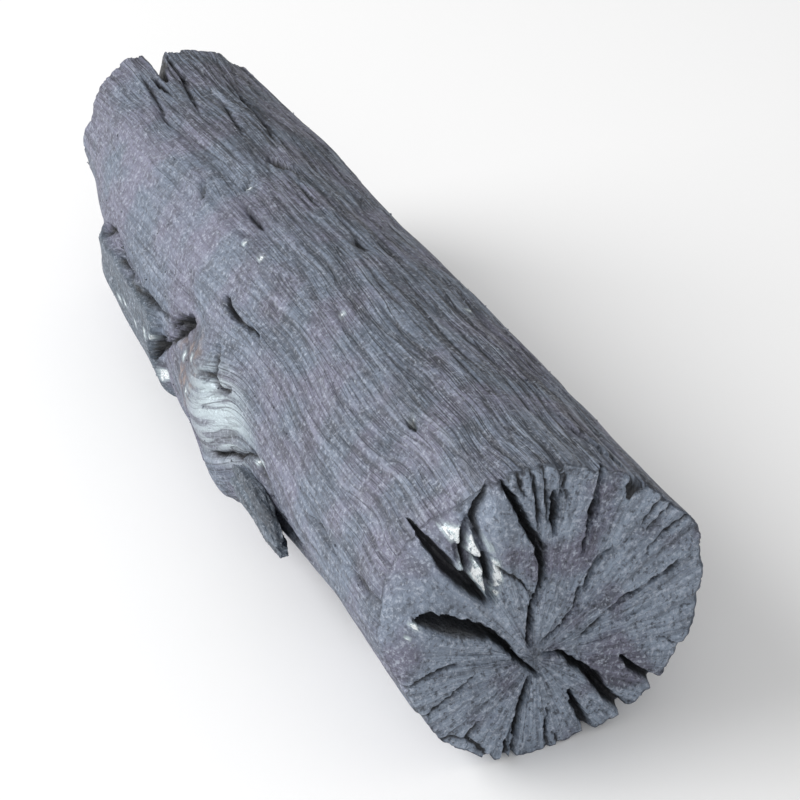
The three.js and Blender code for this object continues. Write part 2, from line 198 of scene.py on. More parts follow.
@dataclass(frozen=True)
class LogForm:
    """The round of the log: its taper, lobes, swellings, worn shoulder and plate of bark."""

    broken_x: float = -111.0
    sawn_x: float = 107.0
    sawn_radius: float = 33.0
    broken_radius: float = 29.5
    flat_sink: float = 1.3
    lobes: tuple[tuple[float, float, float, float], ...] = (  # waves, height, crest, turn
        (3, 0.4, 330, 34),
        (5, 0.35, 40, -28),
        (9, 0.28, 12, 22),
        (16, 0.22, 7, -16),
    )
    humps: tuple[Hump, ...] = (
        Hump(107, 92, 46, 26, 2.6),
        Hump(107, 171, 34, 20, 2.4),
        Hump(107, 222, 40, 22, -1.1),
        Hump(107, 10, 50, 26, 0.8),
        Hump(4, 196, 17, 26, 4.2),
        Hump(-14, 166, 7, 10, -2.4),
        Hump(-56, 190, 26, 24, -1.2),
        Hump(-94, 214, 20, 30, -1.2),
        Hump(-111, 192, 32, 34, -4.0),
        Hump(-111, 112, 24, 16, 2.6),
        Hump(-20, 207, 12, 13, 1.5),
        Hump(14, 207, 9, 13, 3.6),
        Hump(60, 214, 26, 26, -1.5),
        Hump(60, 128, 26, 26, -0.9),
        Hump(-28, 60, 30, 30, -1.1),
        Hump(-60, 20, 22, 26, 1.4),
        Hump(12, 335, 18, 16, 2.2),
    )
    shoulder_start: float = -58.0
    shoulder: Hump = Hump(0, 198, 1, 58, 6.5)  # its angle, reach round and height at the broken end
    shoulder_bend: float = 1.4
    plate_span: tuple[float, float] = (-76.0, -28.0)
    plate_angles: tuple[float, float] = (172.0, 226.0)
    plate_height: float = 2.4
    plate_ragged: float = 2.0  # how far its edge wanders
    plate_step: float = 1.6  # width of the slope at its edge
    plate_fade: float = 8.0  # degrees over which it thins out below
    worn_angle: float = 148.0  # the sawn edge is worn round about this angle
    worn_round: float = 38.0
    worn_along: float = 17.0
    worn_inward: float = 19.0
    worn_seam: float = 0.3  # share of the round's reach along the side where the face's own rings begin

    @property
    def length(self) -> float:
        """From the broken end to the sawn face."""
        return self.sawn_x - self.broken_x

    def mean_radius(self, x: np.ndarray) -> np.ndarray:
        """Mean radius of the section at x."""
        share = np.clip((x - self.broken_x) / self.length, 0.0, 1.0)
        return self.broken_radius + (self.sawn_radius - self.broken_radius) * np.sin(share * math.pi / 2)

    def axis_height(self, x: np.ndarray) -> np.ndarray:
        """Height of the section's middle above the floor at x."""
        return self.mean_radius(x) - self.flat_sink

    def plate(self, x: np.ndarray, angle: np.ndarray) -> np.ndarray:
        """Share of the plate of bark at places on the side, 1 on it and 0 off it."""
        low, high = self.plate_angles
        start, end = self.plate_span
        step = self.plate_step
        edge = self.plate_ragged * lattice_noise(np.stack([x / 7.0, angle / 9.0, 0 * x], 1), 5)
        along = ease(start, start + step, x + edge) * (1.0 - ease(end - step, end, x + edge))
        round_ = ease(low, low + step, angle + 2 * edge) * (1.0 - ease(high - self.plate_fade, high, angle))
        return along * round_

    def worn_share(self, angle: np.ndarray) -> np.ndarray:
        """How strongly the sawn edge is worn at an angle, 0 to 1."""
        return hump(turn_between(self.worn_angle, angle), self.worn_round)

    @staticmethod
    def edge_fall(share: np.ndarray, most: float) -> np.ndarray:
        """The round of the worn edge: how far it falls at a share of its reach, up to the most share."""
        return 1.0 - np.sqrt(1.0 - np.clip(share, 0.0, most) ** 2)

    def radius(self, x: np.ndarray, angle: np.ndarray) -> np.ndarray:
        """Radius of the side, with its worn sawn edge."""
        share = self.worn_share(angle)
        along = self.worn_along * share
        return self.unworn_radius(x, angle) - self.worn_inward * share * self.edge_fall(
            (x - self.sawn_x + along) / along, self.worn_seam
        )

    def unworn_radius(self, x: np.ndarray, angle: np.ndarray) -> np.ndarray:
        """Radius of the side, before its sawn edge was worn.

        Args:
            x: place along the log.
            angle: angle round it.

        Returns:
            Distance from the section's middle.
        """
        radius = self.mean_radius(x)
        for waves, height, crest, turn in self.lobes:
            radius = radius + height * np.cos(waves * np.radians(angle - crest - turn * x / self.length))
        for swelling in self.humps:
            radius = radius + swelling.rise(x, angle)
        gone = (self.shoulder_start - x) / (self.shoulder_start - self.broken_x)
        worn = ease(0.0, 1.0, gone) ** self.shoulder_bend
        radius = radius - self.shoulder.height * worn * hump(
            turn_between(self.shoulder.angle, angle), self.shoulder.round
        )
        return radius + self.plate_height * self.plate(x, angle)


@dataclass(frozen=True)
class GrainFlow:
    """How the grain runs: along the log, turned and pushed aside round the stub of the side branch."""

    stub: tuple[float, float] = (12.0, 181.0)
    push: float = 12.0  # how far from the stub's middle the grain is pushed aside
    push_core: float = 2.2
    swirl: float = 34.0  # degrees that the grain turns at the stub
    swirl_reach: float = 19.0
    wander: tuple[float, float] = (1.9, 0.5)  # how far the grain strays in long and in short waves
    far_stub: tuple[float, float] = (12.0, 335.0)
    far_push: float = 64.0
    far_core: float = 130.0

    def straightened(self, x: np.ndarray, angle: np.ndarray) -> np.ndarray:
        """Places on a straight round log whose grain is that of the real place.

        Args:
            x: place along the log.
            angle: angle round it.

        Returns:
            Array of n by 3 places, in millimetres.
        """
        along = x - self.stub[0]
        across = np.radians(turn_between(self.stub[1], angle)) * ROUND
        away = along**2 + across**2
        turn = np.radians(self.swirl) * np.exp(-away / self.swirl_reach**2)
        run = along * np.cos(turn) - across * np.sin(turn)
        off = along * np.sin(turn) + across * np.cos(turn)
        off = off * (1.0 - self.push**2 / (away + self.push_core * self.push**2))
        spot = np.stack([x / 34.0, np.cos(np.radians(angle)) * 1.3, np.sin(np.radians(angle)) * 1.3], 1)
        long, short = self.wander
        off = off + long * lattice_noise(spot, 11) + short * lattice_noise(spot * 2.6, 12)
        far = np.radians(turn_between(self.far_stub[1], angle)) * ROUND
        reach = (x - self.far_stub[0]) ** 2 + far**2
        off = off - far * self.far_push / (reach + self.far_core)
        round_ = np.radians(self.stub[1]) + off / ROUND
        return np.stack([run + self.stub[0], ROUND * np.cos(round_), ROUND * np.sin(round_)], 1)


@dataclass(frozen=True)
class SawnEnd:
    """The sawn end: nearly flat, with a star of checks, a gouge full of splinters and a worn edge."""

    pith: tuple[float, float] = (-3.5, 23.0)
    checks: tuple[Check, ...] = (
        Check(6, ((-4.8, 26.4, 0.8), (-4.7, 31, 1.3), (-4.4, 35.6, 1.3), (-3.2, 38.4, 1.6),
                  (-2.1, 41.4, 2.3), (-2.2, 45, 2.0), (-3.4, 49.4, 1.4), (-5.6, 54.7, 1.9),
                  (-7.8, 59.7, 1.8), (-9.6, 63.3, 1.3), (-11.4, 67, 0.8))),
        Check(3, ((-1.5, 47.6, 0.8), (-2.8, 50.2, 1.5), (-4.4, 53, 1.0))),
        Check(2.4, ((-3.3, 54.5, 0.8), (-3.8, 59.4, 1.3), (-4.4, 64, 1.0), (-5.8, 70, 0.8))),
        Check(1.8, ((-6.4, 62, 0.7), (-7.4, 65, 1.1), (-8.4, 69, 0.9))),
        Check(4.5, ((0.2, 51.6, 0.8), (0, 55.5, 1.8), (-0.2, 60.8, 1.3))),
        Check(2.4, ((1.4, 60.4, 0.7), (0.5, 67.9, 0.9), (0.6, 73, 0.9))),
        Check(5, ((6.3, 45.4, 0.7), (7.5, 50, 1.5), (8.4, 55.4, 1.9), (9.3, 60, 1.1), (10.2, 64, 1.5),
                  (11, 70, 1.2))),
        Check(4, ((19.3, 56.4, 0.8), (18.6, 58.6, 2.0), (17.4, 62, 2.6))),
        Check(1.4, ((18.9, 47.9, 0.7), (20.4, 50.5, 1.0), (23.6, 53.8, 0.7))),
        Check(1.4, ((19.6, 40.5, 0.7), (21.4, 43.5, 0.9), (28.4, 47.8, 0.8), (33, 50, 0.7))),
        Check(3.2, ((12.6, 44.6, 0.8), (9.8, 43.4, 1.2), (8.1, 40.2, 1.3), (6.9, 36.8, 1.0))),
        Check(2.6, ((5.6, 37.4, 0.8), (5, 33.7, 1.1), (2.4, 29.6, 1.1), (-2, 26.6, 0.8))),
        Check(2.4, ((27.4, 37.2, 0.8), (26.2, 36.2, 2.0), (24.8, 35.6, 0.8))),
        Check(2.4, ((23.2, 34.9, 0.8), (22.3, 34.3, 1.6), (21.4, 33.8, 0.8))),
        Check(2.4, ((20.4, 33.5, 0.9), (17.4, 32.7, 1.2), (14.6, 32.0, 1.0), (12.4, 30.2, 0.9))),
        Check(1.8, ((11, 29.4, 0.8), (9.5, 28, 1.0), (6.2, 25.3, 0.9))),
        Check(1.2, ((24.3, 19.8, 0.7), (26.8, 18, 0.8), (31, 15, 0.7))),
        Check(6, ((15.8, 17.6, 0.7), (18.2, 14.2, 1.4), (21.5, 11.2, 2.0), (25, 8, 2.4), (29, 4, 2.6))),
        Check(7, ((-1.4, 23.3, 0.8), (1.6, 23.2, 1.0), (4, 21, 1.0), (5.2, 19.2, 1.9), (8, 16.6, 2.3),
                  (10.6, 13, 2.5), (13, 8.6, 2.2), (16.6, 4.4, 2.3), (20, 0, 2.4))),
        Check(6, ((4.2, 12.6, 0.7), (6.2, 8.2, 1.7), (8.6, 2.6, 2.2), (10.6, -4, 2.4))),
        Check(2, ((-0.3, 9.9, 0.7), (-0.5, 5.4, 1.0), (-0.2, 2, 0.9), (0, -3, 0.8))),
        Check(1.5, ((1.1, 3.4, 0.7), (2.2, 1, 1.0), (3, -3, 0.9))),
        Check(6.5, ((-4.6, 18.3, 0.9), (-5.6, 14.5, 1.9), (-6.8, 9.5, 1.9), (-7.6, 4, 1.0),
                    (-8.3, -3, 0.8))),
        Check(3, ((-8.2, 8.4, 0.7), (-9.2, 4.5, 1.2), (-10, -2, 1.4))),
        Check(1.8, ((-15.6, 11, 0.7), (-18.1, 8.2, 1.1), (-15, 4.8, 1.1), (-13.4, 1, 0.9))),
        Check(1.4, ((-18.5, 8.2, 0.7), (-21.5, 9.5, 0.9), (-25.6, 9, 0.9))),
        Check(1.6, ((-20.2, 26.7, 0.7), (-24, 26.3, 1.0), (-27.4, 25.6, 1.0), (-31, 23.6, 0.8))),
        Check(1.6, ((-16.4, 22.3, 0.7), (-20.8, 19.6, 1.0), (-24.6, 17.4, 1.0), (-29, 14, 0.8))),
        Check(6, ((-2.6, 18.8, 0.8), (-7, 23.4, 1.1), (-9.4, 27.4, 1.8), (-13, 31.2, 2.6), (-17, 34.0, 3.8),
                  (-21.4, 36.4, 3.8), (-25, 37.9, 2.7), (-27.8, 37.8, 0.9))),
        Check(2.2, ((-9.2, 27, 2.0), (-12.4, 30.6, 3.0), (-16.4, 32.6, 4.9), (-20.6, 34.8, 5.2),
                    (-24.4, 36.7, 4.0), (-27, 37.3, 1.5)), 1.3),
        Check(1.2, ((-12.4, 47.4, 0.7), (-9.2, 44.6, 0.9), (-6.2, 41.4, 0.9), (-4.5, 38.6, 0.7))),
        Check(1.6, ((-1.4, 54.6, 0.7), (-2.0, 61, 1.0), (-2.9, 69, 0.9))),
        Check(1.4, ((1.4, 67, 0.8), (2.0, 62.5, 1.0), (2.5, 58.1, 0.7))),
        Check(1.8, ((-10.9, 63.4, 0.7), (-9.4, 65.6, 1.2), (-7.2, 68.4, 0.8))),
        Check(1.8, ((-8.4, 67.4, 0.8), (-11.4, 65.2, 1.2), (-14.6, 63.2, 0.9), (-18, 62, 0.7))),
        Check(1.5, ((19.9, 46.6, 0.7), (22.6, 49.2, 1.0), (26.4, 52, 0.8))),
    )
    rim_close: float = 0.6  # how much shallower checks are where they reach the rim
    rim_reach: float = 7.0  # how far from the rim checks and rays begin to close
    spalls: tuple[Check, ...] = (
        Check(3.0, ((-16.4, 56.6, 1.0), (-16.9, 53.4, 5.4), (-16.4, 50.0, 6.4), (-14.8, 46.4, 5.6),
                    (-13, 42.8, 3.6), (-12.2, 39.4, 1.4)), 3.4),
        Check(1.5, ((-12.6, 62.4, 0.9), (-14, 59.8, 2.4), (-15.4, 57.2, 3.4), (-16.4, 54.4, 3.4)), 1.8),
    )
    slots: tuple[Check, ...] = (
        Check(5.5, ((-24.4, 53.4, 0.8), (-22.6, 50.6, 2.2), (-20.2, 47, 3.4), (-17.2, 43.4, 2.9),
                    (-15, 40.8, 1.8), (-13.6, 38.6, 0.8))),
        Check(2.4, ((-11.8, 64.6, 0.8), (-13.2, 62.4, 1.2), (-14.8, 59.8, 1.6), (-15.4, 57.4, 1.2),
                    (-14.6, 54.4, 1.6), (-13.4, 51.2, 0.8)), 1.6),
        Check(3, ((-13.9, 49.4, 0.8), (-13.0, 44.6, 0.9), (-12.0, 41.2, 0.7))),
        Check(2.4, ((-17.2, 54.2, 0.7), (-17.6, 50.6, 1.0), (-17.4, 46.8, 0.8))),
        Check(1.6, ((-16.6, 61.2, 0.7), (-14.6, 63.2, 1.0), (-13.2, 64.4, 0.9), (-10.8, 65.4, 0.8))),
    )
    shards: tuple[Shard, ...] = (
        Shard(((-18.2, 51.6), (-17.4, 55.8), (-21.2, 55.0), (-19.6, 52.6)), 2.5, (-0.3, 0.2)),
        Shard(((-13.9, 40.8), (-14.2, 47.0), (-15.9, 49.2), (-17.0, 45.8)), 2.2, (0.3, 0.0)),
        Shard(((-15.7, 49.4), (-14.3, 49.2), (-16.2, 55.4), (-17.3, 50.8)), 2.6, (-0.35, 0.1)),
        Shard(((-12.3, 41.6), (-10.6, 43.6), (-11.5, 48.6), (-13.4, 49.8)), 2.2, (0.4, -0.1)),
        Shard(((-11.9, 38.8), (-11.0, 42.4), (-12.4, 41.2)), 1.6, (0.2, 0.1)),
        Shard(((-19.4, 46.6), (-17.8, 46.9), (-18.0, 51.0)), 1.4, (-0.2, 0.3), 0.7),
        Shard(((-14.0, 50.8), (-12.4, 51.2), (-14.6, 55.0)), 1.8, (0.2, -0.2), 0.72),
    )
    # Painted highlights: bright spots at the end of the widest check, put into the gleam_and_highlight
    # share.
    painted_sparks: tuple[Check, ...] = (
        Check(1, ((-29, 37.3, 0.8), (-28.4, 37, 1.4), (-27.7, 36.6, 0.8))),
        Check(1, ((-30.2, 34.8, 0.7), (-29.6, 34.6, 0.9))),
    )
    ray_count: float = 88.0  # waves of the wood's rays in a turn
    ray_depth: float = 0.5
    slit_shade: float = 3.6  # a slit too thin for the rings is coloured as if it were this deep
    wander: tuple[float, float] = (0.42, 0.2)  # how far edges of checks stray in long and in short waves
    uneven: float = 0.35
    chip_depth: float = 1.3  # of the chips broken out of the rim
    grit: tuple[float, float] = (0.3, 0.26)  # depth of the coarse and of the fine roughness
    # Offsets from a point that a check is averaged over, so that its edge doesn't jump from ring to ring.
    samples: tuple[tuple[float, float], ...] = ((0.16, 0.06), (-0.06, 0.16), (-0.16, -0.06), (0.06, -0.16))

    def spall(self, y: np.ndarray, z: np.ndarray) -> tuple[np.ndarray, np.ndarray, np.ndarray]:
        """The hollow beside the widest check where wood broke out, with its glossy torn faces.

        Args:
            y: places across the face.
            z: places up the face.

        Returns:
            Depth of the hollow, its painted shade, and its share of shine and painted highlight at each
            place.
        """
        hollow, slot, painted_spark = (
            np.max([check.opened(y, z)[0] for check in group], 0)
            for group in (self.spalls, self.slots, self.painted_sparks)
        )
        shares = np.array([shard.share(y, z) for shard in self.shards])
        tops = np.array([shard.top(y, z) for shard in self.shards])
        facet = shares.max(0)
        glassy_highlight = np.max([share * shard.glassy_highlight for share, shard in zip(shares, self.shards)], 0)
        slot = slot * (1.0 - facet)
        # Painted shade: the slots and the torn hollow are coloured dark, beyond what their depth gives.
        torn = np.minimum(1.0, hollow / 2.0) * (1.0 - facet)
        sunk = np.maximum(hollow - (shares * tops).max(0), 0.15 * hollow) + slot
        return sunk, slot + 1.5 * torn, np.maximum(glassy_highlight, np.minimum(1.0, 2.0 * painted_spark))

    def dip(self, form: LogForm, y: np.ndarray, z: np.ndarray) -> tuple[np.ndarray, np.ndarray]:
        """How far the even face lies behind its plane, and how far within the rim a place is."""
        up = z - form.axis_height(np.array(form.sawn_x))
        angle = np.degrees(np.arctan2(up, y)) % 360.0
        share = form.worn_share(angle)
        inward = form.worn_inward * share
        inside = form.unworn_radius(np.full_like(y, form.sawn_x), angle) - np.hypot(y, up)
        most = math.sqrt(1.0 - form.worn_seam**2)
        worn = form.worn_along * share * form.edge_fall((inward - inside) / inward, most)
        return worn + self.uneven * np.sin(y / 7.0) * np.cos(z / 9.0) + self.uneven, inside

    def depth(
        self, form: LogForm, y: np.ndarray, z: np.ndarray
    ) -> tuple[np.ndarray, np.ndarray, np.ndarray]:
        """The whole relief of the face.

        Args:
            form: the log's round.
            y: places across the face, from the log's middle line.
            z: places up the face.

        Returns:
            Depth behind the plane of the face, how deep a check is there or how dark its painted shade is,
            and the share of shine and painted highlight.
        """
        spot = np.stack([y, z, np.zeros_like(y)], 1)
        even, inside = self.dip(form, y, z)
        worn = form.worn_share(np.degrees(np.arctan2(z - form.axis_height(np.array(form.sawn_x)), y)))
        long, short = self.wander
        shift_y = long * lattice_noise(spot / 1.9, 21) + short * lattice_noise(spot / 0.8, 22)
        shift_z = long * lattice_noise(spot / 1.9, 23) + short * lattice_noise(spot / 0.8, 24)
        opened, shade, edge = np.zeros_like(y), np.zeros_like(y), np.zeros_like(y)
        for check in self.checks:
            parts = [check.opened(y + shift_y + a, z + shift_z + b) for a, b in self.samples]
            cut = np.mean([part[0] for part in parts], 0)
            opened = np.maximum(opened, cut)
            shade = np.maximum(shade, self.slit_shade * cut / check.depth)
            edge = np.maximum(edge, parts[0][1])
        opened = opened * (1.0 - self.rim_close * (1.0 - ease(0.0, self.rim_reach, inside)))
        parts = [self.spall(y + 0.5 * shift_y + a, z + 0.5 * shift_z + b) for a, b in self.samples]
        hollow, dark, gleam_and_highlight = (np.mean([part[k] for part in parts], 0) for k in range(3))
        rim = (1.0 - ease(-1.0, 4.5, inside)) * (1.0 - worn)
        chipped = rim * np.clip(rough_noise(spot / 5.2, 31) - 0.08, 0.0, 1.0) * self.chip_depth
        grit = self.grit[0] * lattice_noise(spot / 2.4, 33) + self.grit[1] * lattice_noise(spot / 1.05, 34)
        out_y, out_z = y - self.pith[0], z - self.pith[1]
        reach = np.hypot(out_y, out_z)
        rays = np.stack([np.arctan2(out_z, out_y) * self.ray_count / math.tau, reach / 8.0, 0 * y], 1)
        ray_depth = self.ray_depth * ease(4.0, 16.0, reach) * ease(0.5, self.rim_reach, inside)
        grit = grit + ray_depth * lattice_noise(rays, 36)
        grit = grit * (1.0 - 0.6 * worn) - 0.4 * edge * ease(-0.2, 0.5, grit)
        relief = np.maximum(opened, hollow) + chipped + grit * (1.0 - 0.7 * gleam_and_highlight)
        return even + relief, np.max([opened, shade, dark], 0), gleam_and_highlight


@dataclass(frozen=True)
class BrokenEnd:
    """The broken end: torn in slopes and fibrous steps, with a few checks."""

    middle: tuple[float, float] = (2.0, 29.0)
    checks: tuple[Check, ...] = (
        Check(8, ((-2, 26, 0.8), (-9, 30, 1.6), (-17, 31, 2.0), (-24, 35, 1.2), (-30, 37, 1.0))),
        Check(7, ((0, 28, 0.8), (3, 36, 1.5), (2, 45, 1.9), (5, 60, 1.4))),
        Check(6, ((2, 25, 0.8), (8, 18, 1.7), (15, 12, 1.8), (22, 4, 1.6))),
        Check(5, ((-3, 22, 0.7), (-7, 14, 1.4), (-8, 4, 1.5), (-9, -2, 1.2))),
        Check(5, ((6, 30, 0.7), (14, 33, 1.3), (22, 38, 1.5), (32, 42, 1.4))),
        Check(4, ((-12, 40, 0.8), (-15, 47, 1.4), (-20, 55, 1.3))),
    )
    step: float = 4.5  # torn ledges in a unit of the tear's own height
    inset: float = 4.0  # how far the torn face's middle lies inside the end
    lean: tuple[float, float] = (-0.04, -0.13)  # how its depth grows across and up
    waves: tuple[float, float] = (1.1, 0.9)  # heights of two slow waves that cross on it
    ledge_depth: float = 1.3
    fibre_depth: float = 0.7
    wander: float = 0.7  # how far edges of checks stray
    calm: tuple[float, float] = (19.0, 26.0)  # where the tearing fades out towards the rim

    def depth(self, y: np.ndarray, z: np.ndarray) -> tuple[np.ndarray, np.ndarray]:
        """The relief of the torn face.

        Args:
            y: places across the face, from the log's middle line.
            z: places up the face.

        Returns:
            Depth inside the log's end, and how deep a check is there.
        """
        slope = self.inset + self.lean[1] * (z - self.middle[1]) + self.lean[0] * (y - self.middle[0])
        first, second = self.waves
        slope = slope + first * np.sin(y / 4.2 + z / 11.0) + second * np.cos(z / 4.7 - y / 9.0)
        spot = np.stack([y, z, np.zeros_like(y)], 1)
        tear = rough_noise(spot / 9.0, 41)
        ledges = np.round(tear * self.step) / self.step + 0.25 * tear
        fibres = 0.8 * np.clip(lattice_noise(spot / 1.7, 43), -0.6, 1.0)
        fibres = fibres + 0.25 * lattice_noise(spot / 0.8, 44)
        wobble = self.wander * lattice_noise(spot / 2.6, 45)
        opened = np.zeros_like(y)
        for check in self.checks:
            opened = np.maximum(opened, check.opened(y + wobble, z - wobble)[0])
        calm = 1.0 - ease(*self.calm, np.hypot(y - self.middle[0], z - self.middle[1]))
        opened = opened * (0.2 + 0.8 * calm)
        torn = calm * (self.ledge_depth * ledges + self.fibre_depth * fibres)
        return np.maximum(0.0, slope + torn + 0.5) + opened, opened


@dataclass(frozen=True)
class Side:
    """The side of the log: its open checks, the hollow above the stub and its larger furrows."""

    checks: tuple[Check, ...] = (
        Check(8, ((-114, 93, 7), (-108, 94.5, 5), (-102, 97, 2.6), (-94, 99, 0.8))),
        Check(3, ((-95, 104, 0.8), (-90, 103, 2.0), (-87, 102, 0.8))),
        Check(1.6, ((-100, 107.5, 0.7), (-91, 108.5, 1.5), (-82, 110.5, 1.2), (-74, 112.5, 0.6))),
        Check(1.8, ((-106, 89, 1.2), (-94, 91, 1.5), (-83, 94.5, 1.2), (-72, 98, 0.7))),
        Check(1.8, ((-92, 71, 0.8), (-77, 72, 1.6), (-63, 74.5, 1.4), (-50, 77, 0.7))),
        Check(1.5, ((-77, 84, 0.7), (-66, 86.5, 1.3), (-56, 89.5, 0.7))),
        Check(2.6, ((-41.4, 88.6, 1.0), (-39, 86.2, 2.6), (-35.8, 83, 3.0), (-32.6, 80.6, 1.2)), 1.5),
        Check(1.5, ((-29, 84.5, 0.7), (-20, 86, 1.2), (-10, 86.4, 0.7))),
        Check(1.6, ((-35, 101, 0.8), (-32, 106, 1.4), (-31, 111, 0.8))),
        Check(1.6, ((-25, 111, 0.8), (-18, 112.5, 1.4), (-13, 112, 0.7))),
        Check(1.5, ((-43, 117, 0.8), (-39, 121, 1.5), (-37, 125, 0.8))),
        Check(3.4, ((-5, 141, 0.8), (-3.2, 141.8, 1.9), (-0.6, 143.2, 1.3), (3.4, 143.6, 0.9),
                    (8, 142.4, 0.8), (15.4, 140.4, 0.7))),
        Check(2.4, ((3, 84, 0.8), (6, 84.3, 1.6), (10, 84.5, 0.7))),
        Check(4.2, ((-34, 200, 2.4), (-28, 188, 2.6), (-22.6, 177.6, 4.0), (-18.4, 169, 4.6),
                    (-16, 164.4, 3.0)), 3.0),
        Check(2.2, ((2.5, 157.6, 0.8), (5, 161.5, 1.5), (7.4, 165.6, 1.3), (3.2, 170.6, 0.9))),
        Check(2, ((7.4, 165.8, 0.8), (10, 168.2, 1.6), (13.4, 167.6, 1.4), (17, 163.6, 0.7))),
        Check(2.4, ((-9, 184, 1.0), (-2, 188, 1.7), (4, 194, 1.6), (9, 201, 1.3))),
        Check(2.4, ((13, 193.5, 0.8), (17, 191.4, 1.8), (21, 186.4, 1.2), (24.4, 185, 2.0), (27, 181, 1.1),
                    (31, 176.4, 1.4))),
        Check(3, ((31, 176, 1.2), (36, 178.4, 1.8), (41, 182.5, 2.4), (46, 187, 2.6), (51, 194, 1.6))),
        Check(2.2, ((-72.5, 174, 1.6), (-71, 170, 2.4), (-66.5, 167, 1.5), (-62, 167.6, 1.0),
                    (-55, 173.6, 1.0), (-45, 173, 0.9), (-36, 172, 1.1), (-25, 170, 1.2))),
        Check(1.8, ((70, 116, 0.9), (72, 117, 2.2), (75, 117.5, 0.8))),
        Check(1.2, ((68, 129, 0.8), (70, 130, 1.6), (72, 130, 0.8))),
        Check(1.6, ((62, 171.4, 0.7), (68, 170, 1.3), (77, 170.6, 0.8))),
        Check(1.6, ((83, 168.4, 0.8), (91, 167.6, 1.4), (98, 167, 0.8))),
        Check(1.6, ((40, 186, 0.7), (50, 186.5, 1.3), (59, 185, 0.6))),
        Check(4, ((91, 71, 0.8), (97.5, 66.6, 1.7), (101.6, 61.4, 2.6), (108, 55.5, 2.8))),
        Check(5, ((-110, 262, 2.6), (-84, 259, 2.0), (-60, 258, 0.8))),
        Check(4, ((32, 350, 0.8), (57, 352, 2.0), (78, 350, 1.6), (96, 348, 0.7))),
        Check(4, ((-109, 28, 2.6), (-82, 30, 1.8), (-50, 33, 0.8))),
        Check(3.4, ((-30, 312, 0.8), (-8, 316, 2.0), (18, 314, 1.6), (44, 309, 0.7))),
        Check(3, ((-20, 15, 0.8), (2, 12, 1.6), (24, 13, 0.7))),
        Check(3, ((20, 242, 0.8), (46, 240, 1.9), (70, 243, 0.7))),
    )
    # Angles of the small notches in the sawn rim.
    rim_angles: tuple[float, ...] = (107, 89, 76, 69, 316, 302, 286, 275, 270, 256, 253, 246, 195, 211, 43)
    chunk: Check = Check(4, ((-26, 183.6, 1.2), (-23.4, 179, 2.6), (-20.6, 173, 2.8),
                             (-19, 169.6, 1.4)), 3.0)  # wood left standing in the mouth above the stub
    samples: tuple[tuple[float, float], ...] = ((0.26, 0.1), (-0.1, 0.26), (-0.26, -0.1), (0.1, -0.26))
    notch_depth: float = 1.1
    notch_reach: float = 1.4
    furrow_depth: float = 1.2
    flake_depth: float = 0.8
    flaking: Hump = Hump(-24, 113, 24, 17, 1)  # where the surface flaked off, as a share
    dent_depth: float = 0.3
    wander: tuple[float, float] = (0.9, 0.5)  # how far edges of checks stray in long and in short waves

    def depth(
        self, x: np.ndarray, angle: np.ndarray, straight: np.ndarray
    ) -> tuple[np.ndarray, np.ndarray]:
        """How far the side lies inside its round.

        Args:
            x: places along the log.
            angle: angles round it.
            straight: the same places with their grain straightened.

        Returns:
            Depth of all relief, and how deep a check is there.
        """
        spot = straight / (9.0, 2.2, 2.2)
        shift = self.wander[0] * lattice_noise(spot, 51) + self.wander[1] * lattice_noise(spot * 2.3, 52)
        around = np.radians(angle) * ROUND
        opened = np.zeros_like(x)
        for check in self.checks:
            path = self.along(check)
            parts = [path.opened(x + 0.8 * shift + a, around + 0.5 * shift + b)[0] for a, b in self.samples]
            opened = np.maximum(opened, np.mean(parts, 0))
        chunk = self.along(self.chunk).opened(x + 0.6 * shift, around + 0.4 * shift)[0]
        opened = np.maximum(opened - chunk, 0.0)
        sunk = np.zeros_like(x)
        for angle_ in self.rim_angles:
            away = np.abs(np.radians(turn_between(angle_, angle)) * ROUND + 0.3 * shift)
            share = np.clip(1.0 - away / self.notch_reach, 0.0, 1.0)
            sunk = np.maximum(sunk, self.notch_depth * ease(97.0, 107.0, x) * share)
        furrows = np.clip(-lattice_noise(straight / (52.0, 7.5, 7.5), 53) - 0.05, 0.0, 1.0)
        dents = self.dent_depth * lattice_noise(straight / (16.0, 9.0, 9.0), 54)
        flakes = np.clip(rough_noise(straight / (4.2, 2.6, 2.6), 55), -0.5, 0.7)
        flaked = self.flaking.rise(x, angle) * flakes
        return opened + sunk + self.furrow_depth * furrows + dents + self.flake_depth * flaked + 0.3, opened

    @staticmethod
    def along(check: Check) -> Check:
        """A check of x and angles as one of x and distances round the log."""
        path = tuple((px, math.radians(pa) * ROUND, width) for px, pa, width in check.path)
        return Check(check.depth, path, check.steep)


